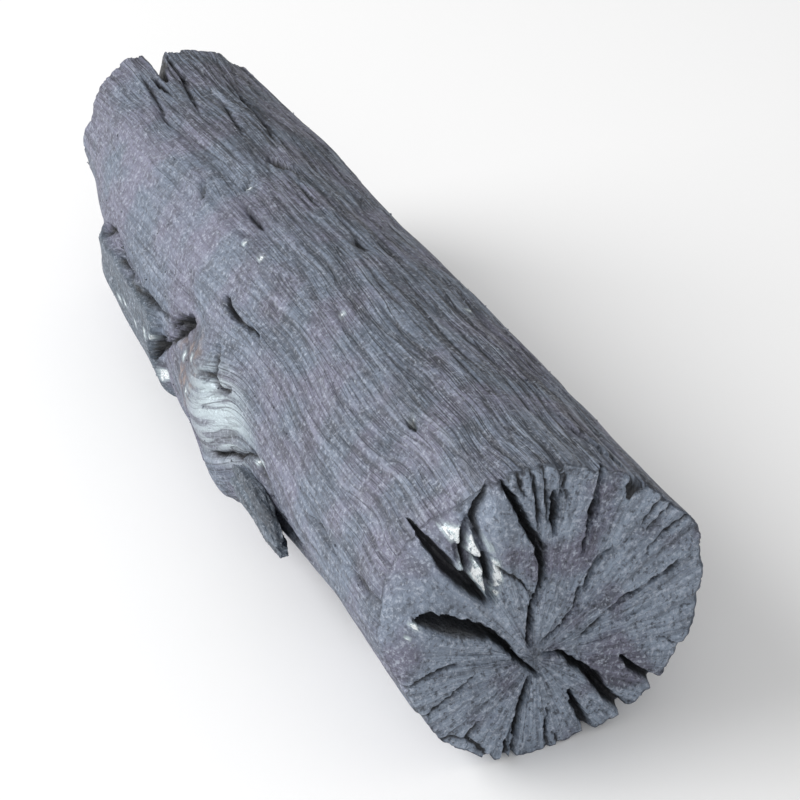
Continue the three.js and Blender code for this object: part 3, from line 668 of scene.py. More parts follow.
@dataclass(frozen=True)
class Strip:
    """A strip of bark that stands off the wood: stations of x, angle, gap, thickness and width."""

    stations: tuple[tuple[float, float, float, float, float], ...]
    seed: int
    # Painted shade: share of near-black over the whole strip, for the shade in its gap by the log.
    painted_shade: float = 0.0
    grain: float = 0.35
    rows: int = 58
    columns: int = 36
    ragged: tuple[float, float] = (0.2, 0.13)  # how much its section varies, coarse and fine
    square: float = 0.6  # 1 for an oval section, less for a squarer one
    bow: float = 0.02
    ripple: float = 0.25
    lean: float = 0.16
    torn: float = 0.5  # how far its outline strays along the log

    def mesh(self, form: LogForm) -> tuple[np.ndarray, list[tuple[int, ...]]]:
        """The closed surface of the strip.

        Args:
            form: the log's round, which the gap is measured from.

        Returns:
            Points in millimetres, and faces.
        """
        table = np.array(self.stations)
        share = np.linspace(0.0, 1.0, self.rows)
        reach = np.linspace(0.0, 1.0, len(table))
        x, angle, gap, thick, width = (np.interp(share, reach, table[:, k]) for k in range(5))
        turn = np.arange(self.columns) / self.columns * math.tau
        rings = []
        for i in range(self.rows):
            spot = np.stack([np.full(self.columns, x[i] / 5.0), np.cos(turn) * 2.2, np.sin(turn) * 0.8], 1)
            coarse, fine = lattice_noise(spot, self.seed), lattice_noise(spot * 3.1, self.seed + 1)
            ragged = 1.0 + self.ragged[0] * coarse + self.ragged[1] * fine
            side = np.sign(np.cos(turn)) * np.abs(np.cos(turn)) ** self.square * width[i] / 2.0 * ragged
            out = np.sign(np.sin(turn)) * np.abs(np.sin(turn)) ** self.square * thick[i] / 2.0 * ragged
            out = out + gap[i] + thick[i] / 2.0 + form.mean_radius(x[i])
            out = out - side**2 * self.bow + self.ripple * np.sin(side * 2.1 + self.seed)
            away = np.radians(angle[i]) + side / (form.mean_radius(x[i]) + 4.0)
            y = out * np.cos(away)
            z = form.axis_height(x[i]) + out * np.sin(away)
            slant = x[i] + self.lean * side + self.torn * lattice_noise(spot * 2.0, self.seed + 2)
            rings.append(np.stack([slant, y, z], 1))
        return loft(rings)


def stitch(first: int, n: int, second: int, m: int) -> list[tuple[int, ...]]:
    """Faces between two rings of points, the second with as many, half or twice as many.

    Args:
        first: index of the first ring's first point.
        n: number of points in the first ring.
        second: index of the second ring's first point.
        m: number of points in the second ring.

    Returns:
        Faces that point outwards when rings run along +X and points turn from +Y to +Z.
    """
    faces: list[tuple[int, ...]] = []
    for j in range(min(n, m)):
        k = (j + 1) % min(n, m)
        if n == m:
            faces.append((first + j, first + k, second + k, second + j))
        elif n < m:
            middle = second + 2 * j + 1
            faces.append((first + j, first + k, middle))
            faces.append((first + k, second + 2 * k, middle))
            faces.append((first + j, middle, second + 2 * j))
        else:
            middle = first + 2 * j + 1
            faces.append((first + 2 * j, middle, second + j))
            faces.append((middle, second + k, second + j))
            faces.append((middle, first + 2 * k, second + k))
    return faces


def loft(rings: list[np.ndarray]) -> tuple[np.ndarray, list[tuple[int, ...]]]:
    """A closed surface through rings of points, with a fan to the middle of each end ring.

    Args:
        rings: arrays of n by 3 points; each ring has as many, half or twice as many as the last.

    Returns:
        Points and faces.
    """
    starts = np.cumsum([0] + [len(ring) for ring in rings])
    points = np.concatenate([*rings, rings[0].mean(0)[None], rings[-1].mean(0)[None]])
    faces: list[tuple[int, ...]] = []
    for k in range(len(rings) - 1):
        faces += stitch(int(starts[k]), len(rings[k]), int(starts[k + 1]), len(rings[k + 1]))
    low = len(points) - 2
    for j in range(len(rings[0])):
        faces.append((low, (j + 1) % len(rings[0]), j))
    top = int(starts[-2])
    for j in range(len(rings[-1])):
        faces.append((low + 1, top + j, top + (j + 1) % len(rings[-1])))
    return points, faces


def linear(hex_colour: str) -> tuple[float, float, float, float]:
    """An sRGB hex colour as linear RGBA."""
    parts = [int(hex_colour[i:i + 2], 16) / 255.0 for i in (1, 3, 5)]
    return (*[c / 12.92 if c <= 0.04045 else ((c + 0.055) / 1.055) ** 2.4 for c in parts], 1.0)


def node(tree: bpy.types.NodeTree, kind: str, links: dict | None = None, **settings) -> bpy.types.Node:
    """Add a node with its settings and links.

    Args:
        tree: tree that the node goes into.
        kind: node type.
        links: what each input takes: a socket to link from, or a plain value.
        **settings: node properties.

    Returns:
        The new node.
    """
    made = tree.nodes.new(kind)
    for name, value in settings.items():
        setattr(made, name, value)
    for key, value in (links or {}).items():
        if isinstance(value, bpy.types.NodeSocket):
            tree.links.new(value, made.inputs[key])
        else:
            made.inputs[key].default_value = value
    return made


class Mask(Enum):
    """Attributes that the lump's mesh carries for its relief and its finish, with its painted light and
    shade.
    """

    STRAIGHT = "straight"  # place with the grain straightened, in metres
    GRAIN = "grain"  # how strongly the grain shows: 1 on the side, 0 on the ends
    SAWN = "sawn"  # 1 on the sawn face
    CHECK_SHADE = "check_shade"  # painted shade in checks, slits and hollows: how dark, 0 to 1, mostly from how deep a check is
    GLEAM_AND_HIGHLIGHT = "gleam_and_highlight"  # glossy char, with lower roughness and some metal, and painted highlight: silvery sheen and near-white highlight spots in its colour
    RUST = "rust"  # brown tar left at the stub
    GROOVE_SHADE = "groove_and_shade"  # inside the sunken grooves of the grain, which painted shade darkens in the colour
    BARK = "bark"  # 1 on what is left of the bark


@dataclass(frozen=True)
class GrainRelief:
    """Geometry Nodes tree that sinks the fine grooves of the grain into the side."""

    spacing: float = 1.3
    length: float = 24.0
    depth: float = 0.62
    seed: float = 3.0

    def tree(self) -> bpy.types.NodeTree:
        """Build the tree; its sizes are named inputs, in metres."""
        tree = bpy.data.node_groups.new("grain_relief", "GeometryNodeTree")
        face = tree.interface
        face.new_socket("Geometry", in_out="INPUT", socket_type="NodeSocketGeometry")
        for name in ("Groove spacing", "Groove length", "Groove depth", "Seed"):
            face.new_socket(name, in_out="INPUT", socket_type="NodeSocketFloat")
        face.new_socket("Finish", in_out="INPUT", socket_type="NodeSocketMaterial")
        face.new_socket("Geometry", in_out="OUTPUT", socket_type="NodeSocketGeometry")
        ins = node(tree, "NodeGroupInput").outputs
        straight = node(tree, "GeometryNodeInputNamedAttribute", {"Name": Mask.STRAIGHT.value},
                        data_type="FLOAT_VECTOR").outputs["Attribute"]
        grain = node(tree, "GeometryNodeInputNamedAttribute", {"Name": Mask.GRAIN.value},
                     data_type="FLOAT").outputs["Attribute"]
        stretch = node(tree, "ShaderNodeCombineXYZ", {
            "X": ins["Groove length"], "Y": ins["Groove spacing"], "Z": ins["Groove spacing"]}).outputs[0]
        cells = node(tree, "ShaderNodeVectorMath", {0: straight, 1: stretch}, operation="DIVIDE").outputs[0]
        grooves = node(tree, "ShaderNodeTexNoise", {"Vector": cells, "W": ins["Seed"], "Scale": 1.0,
                       "Detail": 2.0, "Roughness": 0.55, "Distortion": 0.25},
                       noise_dimensions="4D").outputs["Fac"]
        hollow = node(tree, "ShaderNodeMapRange", {"Value": grooves, "From Min": 0.53, "From Max": 0.33,
                      "To Min": 0.0, "To Max": 1.0}, interpolation_type="SMOOTHERSTEP").outputs["Result"]
        amount = node(tree, "ShaderNodeMath", {0: hollow, 1: grain}, operation="MULTIPLY").outputs[0]
        sunk = node(tree, "ShaderNodeMath", {0: amount, 1: ins["Groove depth"]},
                    operation="MULTIPLY").outputs[0]
        inward = node(tree, "ShaderNodeMath", {0: sunk, 1: -1.0}, operation="MULTIPLY").outputs[0]
        normal = node(tree, "GeometryNodeInputNormal").outputs[0]
        offset = node(tree, "ShaderNodeVectorMath", {0: normal, "Scale": inward},
                      operation="SCALE").outputs[0]
        moved = node(tree, "GeometryNodeSetPosition", {"Geometry": ins["Geometry"], "Offset": offset})
        # Keep how far each point sank, for the painted shade that darkens the grooves.
        kept = node(tree, "GeometryNodeStoreNamedAttribute", {"Geometry": moved.outputs[0],
                    "Name": Mask.GROOVE_SHADE.value, "Value": amount}, data_type="FLOAT", domain="POINT")
        whole = node(tree, "GeometryNodeRealizeInstances", {"Geometry": kept.outputs[0]})
        dressed = node(tree, "GeometryNodeSetMaterial", {"Geometry": whole.outputs[0],
                       "Material": ins["Finish"]})
        node(tree, "NodeGroupOutput", {"Geometry": dressed.outputs[0]})
        return tree

    def inputs(self) -> dict[str, float]:
        """The sizes to set on the modifier, by input name."""
        return {"Groove spacing": self.spacing * MM, "Groove length": self.length * MM,
                "Groove depth": self.depth * MM, "Seed": self.seed}


@dataclass(frozen=True)
class CrumbScatter:
    """Geometry Nodes tree that strews small chips of char, half sunk in the surface."""

    size: float = 0.34
    per_square_mm: float = 0.014
    least_height: float = 2.0  # none below this, where the lump rests
    seed: int = 9

    def tree(self) -> bpy.types.NodeTree:
        """Build the tree; its sizes are named inputs, in metres."""
        tree = bpy.data.node_groups.new("crumb_scatter", "GeometryNodeTree")
        face = tree.interface
        face.new_socket("Geometry", in_out="INPUT", socket_type="NodeSocketGeometry")
        for name in ("Crumb size", "Density", "Least height"):
            face.new_socket(name, in_out="INPUT", socket_type="NodeSocketFloat")
        face.new_socket("Seed", in_out="INPUT", socket_type="NodeSocketInt")
        face.new_socket("Finish", in_out="INPUT", socket_type="NodeSocketMaterial")
        face.new_socket("Geometry", in_out="OUTPUT", socket_type="NodeSocketGeometry")
        ins = node(tree, "NodeGroupInput").outputs
        place = node(tree, "GeometryNodeInputPosition").outputs[0]
        height = node(tree, "ShaderNodeSeparateXYZ", {0: place}).outputs[2]
        clear = node(tree, "FunctionNodeCompare", {0: height, 1: ins["Least height"]},
                     operation="GREATER_THAN").outputs[0]
        points = node(tree, "GeometryNodeDistributePointsOnFaces", {"Mesh": ins["Geometry"],
                      "Selection": clear, "Density": ins["Density"], "Seed": ins["Seed"]}).outputs["Points"]
        chip = node(tree, "GeometryNodeMeshIcoSphere", {"Radius": ins["Crumb size"], "Subdivisions": 1})
        turn = node(tree, "FunctionNodeRandomValue", {0: (0, 0, 0), 1: (6.28, 6.28, 6.28), "Seed": 1},
                    data_type="FLOAT_VECTOR").outputs[0]
        scale = node(tree, "FunctionNodeRandomValue", {0: (0.35, 0.3, 0.2), 1: (1.5, 1.0, 0.8), "Seed": 2},
                     data_type="FLOAT_VECTOR").outputs[0]
        placed = node(tree, "GeometryNodeInstanceOnPoints", {"Points": points,
                      "Instance": chip.outputs["Mesh"], "Rotation": turn, "Scale": scale})
        whole = node(tree, "GeometryNodeRealizeInstances", {"Geometry": placed.outputs[0]})
        dressed = node(tree, "GeometryNodeSetMaterial", {"Geometry": whole.outputs[0],
                       "Material": ins["Finish"]})
        node(tree, "NodeGroupOutput", {"Geometry": dressed.outputs[0]})
        return tree

    def inputs(self) -> dict[str, float]:
        """The sizes to set on the modifier, by input name."""
        return {"Crumb size": self.size * MM, "Density": self.per_square_mm / MM**2,
                "Least height": self.least_height * MM, "Seed": self.seed}


def grown(source: bpy.types.Object, tree: bpy.types.NodeTree, values: dict, name: str) -> bpy.types.Object:
    """Run a Geometry Nodes tree on an object and keep its result as a plain mesh.

    Args:
        source: object that the tree starts from.
        tree: the tree.
        values: inputs by name.
        name: name of the new object.

    Returns:
        A new object with the result; the source is left as it was.
    """
    modifier = source.modifiers.new("grow", "NODES")
    modifier.node_group = tree
    for item in tree.interface.items_tree:
        if item.item_type == "SOCKET" and item.in_out == "INPUT" and item.name in values:
            modifier[item.identifier] = values[item.name]
    scene_graph = bpy.context.evaluated_depsgraph_get()
    mesh = bpy.data.meshes.new_from_object(source.evaluated_get(scene_graph), depsgraph=scene_graph)
    source.modifiers.remove(modifier)
    mesh.name = name
    made = bpy.data.objects.new(name, mesh)
    bpy.context.collection.objects.link(made)
    return made


@dataclass(frozen=True)
class CharredWood:
    """Hardwood char, burnt without air: blue-grey, dull, with the shine of graphite, partly painted.

    The eye gets fine pale specks, partly painted sparkle, and dark pores along the grain, a mottle from
    violet to blue, painted shade that turns the checks black and darkens the grooves, and painted
    silvery sheen and near-white painted highlights where fibres tore or were pressed smooth.
    """

    cool: str = "#667182"
    violet: str = "#707184"
    # Dark of grain lines, pores and blots, also painted shade in the sunken grooves.
    groove_and_shade: str = "#1E2028"
    # Painted shade: near-black for the checks, slits and hollows.
    painted_shade: str = "#0E0F12"
    # Pale specks of char, partly painted sparkle where light would catch raised grains.
    speck_and_sparkle: str = "#B9C1D0"
    # Painted sheen and highlight: silvery on the stub and in the gouge, near-white for highlight spots.
    silver_sheen: str = "#BECCD1"
    painted_glint: str = "#EEF3F5"
    tar: str = "#5A5258"
    bronze: str = "#84746E"
    sawn: str = "#909DAF"
    bark: str = "#4B5864"
    roughness: float = 0.62
    ior: float = 1.6

    def material(self) -> bpy.types.Material:
        """Build the material."""
        made = bpy.data.materials.new("hardwood_char_kiln_burnt")
        made.use_nodes = True
        tree = made.node_tree
        shader = tree.nodes["Principled BSDF"]

        def mask(kind: Mask) -> bpy.types.NodeSocket:
            """One number of the mesh's own attributes."""
            return node(tree, "ShaderNodeAttribute", attribute_name=kind.value).outputs["Fac"]

        def mixed(share, first, second) -> bpy.types.NodeSocket:
            """Colour from first to second by share."""
            return node(tree, "ShaderNodeMix", {0: share, 6: first, 7: second}, data_type="RGBA").outputs[2]

        def noise(place, scale: float, detail: float, rough: float = 0.5) -> bpy.types.NodeSocket:
            """Noise with about scale cells in a metre."""
            return node(tree, "ShaderNodeTexNoise", {"Vector": place, "Scale": scale, "Detail": detail,
                        "Roughness": rough}).outputs["Fac"]

        def ranged(value, low: float, high: float, to_low: float = 0.0, to_high: float = 1.0):
            """Value eased from one range to another."""
            return node(tree, "ShaderNodeMapRange", {"Value": value, "From Min": low, "From Max": high,
                        "To Min": to_low, "To Max": to_high},
                        interpolation_type="SMOOTHSTEP").outputs["Result"]

        def math_(kind: str, first, second=0.0) -> bpy.types.NodeSocket:
            """One sum of two numbers."""
            return node(tree, "ShaderNodeMath", {0: first, 1: second}, operation=kind).outputs[0]

        place = node(tree, "ShaderNodeTexCoord").outputs["Object"]
        straight = node(tree, "ShaderNodeAttribute", attribute_name=Mask.STRAIGHT.value).outputs["Vector"]
        fibre = node(tree, "ShaderNodeVectorMath", {0: straight, 1: (0.055, 1.0, 1.0)},
                     operation="MULTIPLY").outputs[0]
        grain, sawn = mask(Mask.GRAIN), mask(Mask.SAWN)

        def veins(cells: float, width: float) -> bpy.types.NodeSocket:
            """Thin lines along the grain, 1 on a line, with about cells between them in a metre."""
            wave = noise(fibre, cells, 2.0, 0.55)
            return ranged(math_("ABSOLUTE", math_("SUBTRACT", wave, 0.5)), width, 0.0)

        # Mottle in patches of 14 mm and 4 mm; dark lines of grain 2.4 mm and 1.1 mm apart, and streaks of
        # 1.6 mm between them; crumbs of char of 1.2 mm and 0.8 mm, drawn coarser than the real ones so that
        # they show, the pale ones partly painted sparkle of light on raised grains.
        patches = noise(place, 70.0, 2.0)
        blots = noise(place, 240.0, 2.0, 0.6)
        streaks = noise(fibre, 640.0, 3.0, 0.6)
        lines = math_("MAXIMUM", veins(420.0, 0.04), math_("MULTIPLY", veins(900.0, 0.05), 0.6))
        grains = noise(place, 820.0, 3.0, 0.7)
        specks = noise(place, 1250.0, 2.0, 0.65)
        base = mixed(ranged(patches, 0.38, 0.62), linear(self.cool), linear(self.violet))
        base = mixed(math_("MULTIPLY", sawn, ranged(patches, 0.6, 0.42)), base, linear(self.sawn))
        base = mixed(math_("MULTIPLY", mask(Mask.BARK), 0.9), base, linear(self.bark))
        base = mixed(math_("MULTIPLY", ranged(blots, 0.5, 0.3), 0.35), base, linear(self.groove_and_shade))
        dark_streak = math_("MULTIPLY", ranged(streaks, 0.5, 0.34), math_("MULTIPLY", grain, 0.55))
        base = mixed(dark_streak, base, linear(self.groove_and_shade))
        base = mixed(math_("MULTIPLY", ranged(streaks, 0.52, 0.68), math_("MULTIPLY", grain, 0.3)), base,
                     linear(self.speck_and_sparkle))
        base = mixed(math_("MULTIPLY", lines, math_("MULTIPLY", grain, 0.95)), base, linear(self.groove_and_shade))
        # Pale grains on the sawn face, partly painted sparkle of light on their tops.
        base = mixed(math_("MULTIPLY", ranged(grains, 0.54, 0.68), ranged(sawn, 0.0, 1.0, 0.3, 0.75)), base,
                     linear(self.speck_and_sparkle))
        pale = math_("MULTIPLY", ranged(specks, 0.53, 0.72), ranged(sawn, 0.0, 1.0, 0.42, 0.62))
        base = mixed(pale, base, linear(self.speck_and_sparkle))
        pores = math_("MULTIPLY", ranged(grains, 0.46, 0.34), ranged(sawn, 0.0, 1.0, 0.45, 0.7))
        base = mixed(pores, base, linear(self.groove_and_shade))
        # Painted shade: the sunken grooves of the grain darkened in the colour.
        base = mixed(math_("MULTIPLY", mask(Mask.GROOVE_SHADE), 0.7), base, linear(self.groove_and_shade))
        base = mixed(math_("MULTIPLY", mask(Mask.RUST), ranged(blots, 0.4, 0.54, 0.35, 0.95)), base,
                     mixed(ranged(blots, 0.5, 0.6), linear(self.tar), linear(self.bronze)))
        # Painted highlight: the gleam_and_highlight share mixes silvery sheen and near-white spots into the
        # colour; it also lowers roughness and adds metal.
        gleam_and_highlight = math_("MULTIPLY", mask(Mask.GLEAM_AND_HIGHLIGHT), ranged(streaks, 0.38, 0.52, 0.25, 1.2))
        gleam_and_highlight = math_("MULTIPLY", gleam_and_highlight, ranged(lines, 0.2, 0.9, 1.0, 0.25))
        base = mixed(gleam_and_highlight, base, linear(self.silver_sheen))
        glass_highlight = ranged(mask(Mask.GLEAM_AND_HIGHLIGHT), 0.72, 0.95)
        base = mixed(math_("MULTIPLY", glass_highlight, ranged(grains, 0.38, 0.52)), base, linear(self.painted_glint))
        # Painted shade: checks, slits and hollows turn near-black by their check_shade share.
        black = math_("MULTIPLY", ranged(mask(Mask.CHECK_SHADE), 0.1, 0.75), 0.92)
        base = mixed(black, base, linear(self.painted_shade))
        tree.links.new(base, shader.inputs["Base Color"])
        rough = ranged(specks, 0.3, 0.75, self.roughness + 0.1, self.roughness - 0.16)
        rough = math_("SUBTRACT", rough, math_("MULTIPLY", gleam_and_highlight, 0.28))
        tree.links.new(rough, shader.inputs["Roughness"])
        tree.links.new(math_("MULTIPLY", gleam_and_highlight, 0.55), shader.inputs["Metallic"])
        shader.inputs["IOR"].default_value = self.ior
        crumble = noise(place, 620.0, 4.0, 0.72)
        height = math_("MULTIPLY", math_("SUBTRACT", streaks, math_("MULTIPLY", lines, 0.5)), grain)
        height = math_("ADD", height, math_("MULTIPLY", specks, 0.6))
        height = math_("ADD", height, math_("MULTIPLY", crumble, ranged(sawn, 0.0, 1.0, 0.5, 2.2)))
        bump = node(tree, "ShaderNodeBump", {"Height": height, "Strength": 0.9, "Distance": 0.6 * MM})
        tree.links.new(bump.outputs["Normal"], shader.inputs["Normal"])
        return made


@dataclass(frozen=True)
class CharCrumb:
    """Chips of char broken off in handling: small clean faces that catch the light."""

    colour: str = "#8D96A2"
    dark: str = "#4A4F59"
    roughness: float = 0.3

    def material(self) -> bpy.types.Material:
        """Build the material."""
        made = bpy.data.materials.new("char_crumb_fresh_broken")
        made.use_nodes = True
        tree = made.node_tree
        shader = tree.nodes["Principled BSDF"]
        place = node(tree, "ShaderNodeTexCoord").outputs["Object"]
        # Chips dark or pale in patches of 4 mm.
        tone = node(tree, "ShaderNodeTexNoise", {"Vector": place, "Scale": 260.0,
                    "Detail": 1.0}).outputs["Fac"]
        shade = node(tree, "ShaderNodeMapRange", {"Value": tone, "From Min": 0.4,
                     "From Max": 0.62}).outputs["Result"]
        base = node(tree, "ShaderNodeMix", {0: shade, 6: linear(self.dark), 7: linear(self.colour)},
                    data_type="RGBA").outputs[2]
        tree.links.new(base, shader.inputs["Base Color"])
        shader.inputs["Roughness"].default_value = self.roughness
        return made


@dataclass
class CharcoalLump:
    """The whole lump: log, checks, stub, bark and crumbs."""

    form: LogForm = LogForm()
    flow: GrainFlow = GrainFlow()
    sawn: SawnEnd = SawnEnd()
    broken: BrokenEnd = BrokenEnd()
    side: Side = Side()
    strips: tuple[Strip, ...] = (
        Strip(((-6, 212, -7, 5, 15), (6, 210.5, -4, 5.5, 14), (16, 208, -1.6, 5, 13),
               (26, 205.5, -0.8, 4.2, 12), (36, 203, -0.1, 3.4, 10), (43, 200, 0.8, 2.8, 7.8),
               (49, 199, 1.4, 1.8, 3.4)), 61),
        # The narrow strip by the log gets painted shade.
        Strip(((12, 199, -6, 5, 5), (21, 193.5, -2.4, 4, 5), (30, 189.5, -0.9, 3.4, 5),
               (39, 188, 0.2, 3, 4.8), (46, 190, 1.0, 2.4, 3.8), (50.5, 192, 1.4, 1.4, 1.6)), 71, 0.34),
    )
    painted_glints: tuple[tuple[float, float, float], ...] = (  # x, angle and size of painted highlight spots, near-white, on the side
        (-12.1, 121.2, 1.0), (-3.8, 120, 1.3), (30.4, 110.5, 0.9), (36.1, 62.1, 1.0), (72.6, 116.1, 1.1),
        (-29, 201.6, 2.2), (-31.3, 105, 1.2), (33.6, 177.4, 1.4), (35.8, 176.6, 1.2), (-55.3, 190.1, 1.3),
        (-50.8, 188.3, 0.9), (-42.2, 189.4, 1.2), (-33.6, 185.1, 1.5), (-29.2, 183.3, 1.0), (-12, 176, 1.1),
        (-6, 170.4, 1.3), (-2.8, 182, 1.0),
    )
    ray_round: float = 22.0  # where on the faces the wood's rays are as wide as lines of grain on the side
    ray_grain: float = 0.42  # how strongly the rays show on the faces
    silver_sheen: Hump = Hump(14, 177, 19, 19, 1)  # painted silvery sheen on the fibres of the stub, as a share
    tar: Hump = Hump(-8, 176, 11, 17, 1)  # brown tar beside the stub, as a share
    bald: tuple[Hump, ...] = (Hump(-70, 142, 26, 24, 1), Hump(-30, 132, 28, 22, 1))  # where grain is faint
    strong_angle: float = 70.0  # the grain is strongest round about this angle
    strong_round: float = 42.0
    columns: int = 448
    row_ends: tuple[float, ...] = (-44.0, 52.0, 90.0)
    row_pitches: tuple[float, ...] = (2.4, 1.45, 2.2, 0.95)  # from ring to ring, up to each of row_ends
    face_ring: float = 0.42  # from ring to ring on the sawn face
    torn_ring: float = 1.1  # from ring to ring on the torn face
    thin_below: float = 1.8  # a ring is thinned by halves where its share of the rim times this is below 1
    thin_most: int = 32
    torn_reach: float = 26.0  # how far the torn face's relief shifts the rings of the side
    sawn_reach: float = 36.0
    shade_from: float = 0.3  # depth from which a check is dark, and how much deeper it is black
    shade_span: float = 3.0
    sharp_degrees: float = 58.0  # edges sharper than this aren't shaded smooth
    finish: CharredWood = CharredWood()
    made: list[bpy.types.Object] = field(default_factory=list)

    def rows(self) -> np.ndarray:
        """Places of the rings along the side, closer near the sawn rim and the stub."""
        ends = (self.form.broken_x, *self.row_ends, self.form.sawn_x)
        parts = []
        for (low, high), pitch in zip(itertools.pairwise(ends), self.row_pitches):
            count = round((high - low) / pitch)
            parts.append(np.arange(low, high, (high - low) / count)[:count])
        return np.concatenate([*parts, [self.form.sawn_x]])

    def side_places(self, x: np.ndarray, angle: np.ndarray) -> tuple[np.ndarray, dict[Mask, np.ndarray]]:
        """Points of the side and what they carry.

        Args:
            x: places along the log.
            angle: angles round it.

        Returns:
            Points in millimetres, from the log's middle line, and the masks.
        """
        straight = self.flow.straightened(x, angle)
        sunk, opened = self.side.depth(x, angle, straight)
        radius = self.form.radius(x, angle) - sunk
        y = radius * np.cos(np.radians(angle))
        z = self.form.axis_height(x) + radius * np.sin(np.radians(angle))
        rub = ease(0.0, 1.5, z)
        stub = self.silver_sheen.rise(x, angle)
        tar = self.tar.rise(x, angle)
        bald = np.max([patch.rise(x, angle) for patch in self.bald], 0)
        painted_glints = np.zeros_like(x)
        for spot_x, spot_angle, size in self.painted_glints:
            away = np.hypot(x - spot_x, np.radians(turn_between(spot_angle, angle)) * ROUND)
            painted_glints = np.maximum(painted_glints, ease(size, 0.6 * size, away))
        strong = 0.5 + 0.5 * hump(turn_between(self.strong_angle, angle), self.strong_round)
        plate = self.form.plate(x, angle)
        grain = rub * strong * (1 - 0.75 * bald) * (1 - 0.6 * plate) * (1 + 0.35 * stub)
        masks = {
            Mask.STRAIGHT: straight * MM,
            Mask.GRAIN: grain,
            Mask.SAWN: np.zeros_like(x),
            # Painted shade: checks in the side darken with their depth.
            Mask.CHECK_SHADE: np.clip(opened / 2.2, 0, 1),
            # Painted highlight: near-white spots at the listed places, and silvery sheen on the stub except
            # inside checks.
            Mask.GLEAM_AND_HIGHLIGHT: np.maximum(
                painted_glints, 0.68 * np.clip(1.9 * stub - 0.6, 0, 1) * (1.0 - np.clip(opened / 1.5, 0, 1))
            ),
            Mask.RUST: np.clip(1.4 * tar - 0.4, 0, 1),
            Mask.BARK: plate,
        }
        return np.stack([x, y, np.maximum(z, 0.0)], 1), masks

    def face_rings(self, rim: np.ndarray, middle: tuple[float, float], spacing: float) -> list[np.ndarray]:
        """Rings of y and z from just inside a rim to near its middle, thinned as they shrink.

        Args:
            rim: y and z of the rim's points.
            middle: y and z that the rings close on.
            spacing: distance between rings.

        Returns:
            One array of n by 2 for each ring, outermost first.
        """
        reach = float(np.hypot(*(rim - middle).T).mean())
        count = round(reach / spacing)
        rings = []
        for k in range(1, count):
            share = 1.0 - k / count
            halvings = max(0, math.floor(math.log2(1.0 / (share * self.thin_below))))
            thin = min(2**halvings, self.thin_most)
            rings.append(np.asarray(middle) + (rim[::thin] - middle) * share)
        return rings

    def log_mesh(self) -> tuple[np.ndarray, list[tuple[int, ...]], dict[Mask, np.ndarray]]:
        """The log's closed surface.

        Returns:
            Points in millimetres from the log's middle line, faces, and masks for each point.
        """
        low, high = self.form.broken_x, self.form.sawn_x
        angles = np.arange(self.columns) * 360.0 / self.columns
        rims = [self.side_places(np.full(self.columns, end), angles)[0] for end in (low, high)]
        inset = self.broken.depth(rims[0][:, 1], rims[0][:, 2])[0]
        outset = self.sawn.depth(self.form, rims[1][:, 1], rims[1][:, 2])[0]
        torn_rings = self.face_rings(rims[0][:, 1:], self.broken.middle, self.torn_ring)[::-1]
        sawn_rings = self.face_rings(rims[1][:, 1:], self.sawn.pith, self.face_ring)
        rings, masks = [], []
        for ring in torn_rings:
            depth, opened = self.broken.depth(ring[:, 0], ring[:, 1])
            points = np.stack([low + depth, ring[:, 0], ring[:, 1]], 1)
            rings.append(points)
            masks.append(self.end_masks(points, opened, np.zeros(len(ring)), np.zeros(len(ring))))
        for row in self.rows():
            x = row + inset * (1 - ease(low, low + self.torn_reach, np.full(self.columns, row)))
            x = x - outset * ease(high - self.sawn_reach, high, np.full(self.columns, row))
            points, carried = self.side_places(x, angles)
            rings.append(points)
            masks.append(carried)
        for ring in sawn_rings:
            depth, opened, gleam_and_highlight = self.sawn.depth(self.form, ring[:, 0], ring[:, 1])
            points = np.stack([high - depth, ring[:, 0], ring[:, 1]], 1)
            rings.append(points)
            masks.append(self.end_masks(points, opened, gleam_and_highlight, self.sawn_share(ring)))
        masks.append({kind: value[:1] for kind, value in masks[0].items()})
        masks.append({kind: value[:1] for kind, value in masks[-2].items()})
        points, faces = loft(rings)
        return points, faces, {kind: np.concatenate([m[kind] for m in masks]) for kind in masks[0]}

    def sawn_share(self, ring: np.ndarray) -> np.ndarray:
        """How far places of the sawn face look sawn, 1 except at the worn edge, which is like the side."""
        up = ring[:, 1] - self.form.axis_height(np.array(self.form.sawn_x))
        worn = self.form.worn_share(np.degrees(np.arctan2(up, ring[:, 0])))
        reach = np.hypot(ring[:, 0], up)
        inner, outer = (self.form.sawn_radius - inward for inward in (19, 7))
        return 1.0 - 0.65 * np.clip(1.6 * worn, 0, 1) * ease(inner, outer, reach)

    def end_masks(
        self, points: np.ndarray, opened: np.ndarray, gleam_and_highlight: np.ndarray, sawn: np.ndarray
    ) -> dict[Mask, np.ndarray]:
        """What the points of an end face carry.

        Args:
            points: places in millimetres.
            opened: how deep a check is at each.
            gleam_and_highlight: how glossy each is, with its painted highlight.
            sawn: how far each looks sawn.

        Returns:
            The masks.
        """
        away = points[:, 1:] - self.sawn.pith
        reach = np.hypot(*away.T)
        rays = self.ray_round * away.T / np.maximum(reach, 0.1)
        return {
            Mask.STRAIGHT: np.stack([reach, *rays], 1) * MM,
            Mask.GRAIN: self.ray_grain * sawn,
            Mask.SAWN: sawn,
            Mask.CHECK_SHADE: np.clip((opened - self.shade_from) / self.shade_span, 0, 1),
            Mask.GLEAM_AND_HIGHLIGHT: gleam_and_highlight,
            Mask.RUST: np.zeros(len(points)),
            Mask.BARK: np.zeros(len(points)),
        }

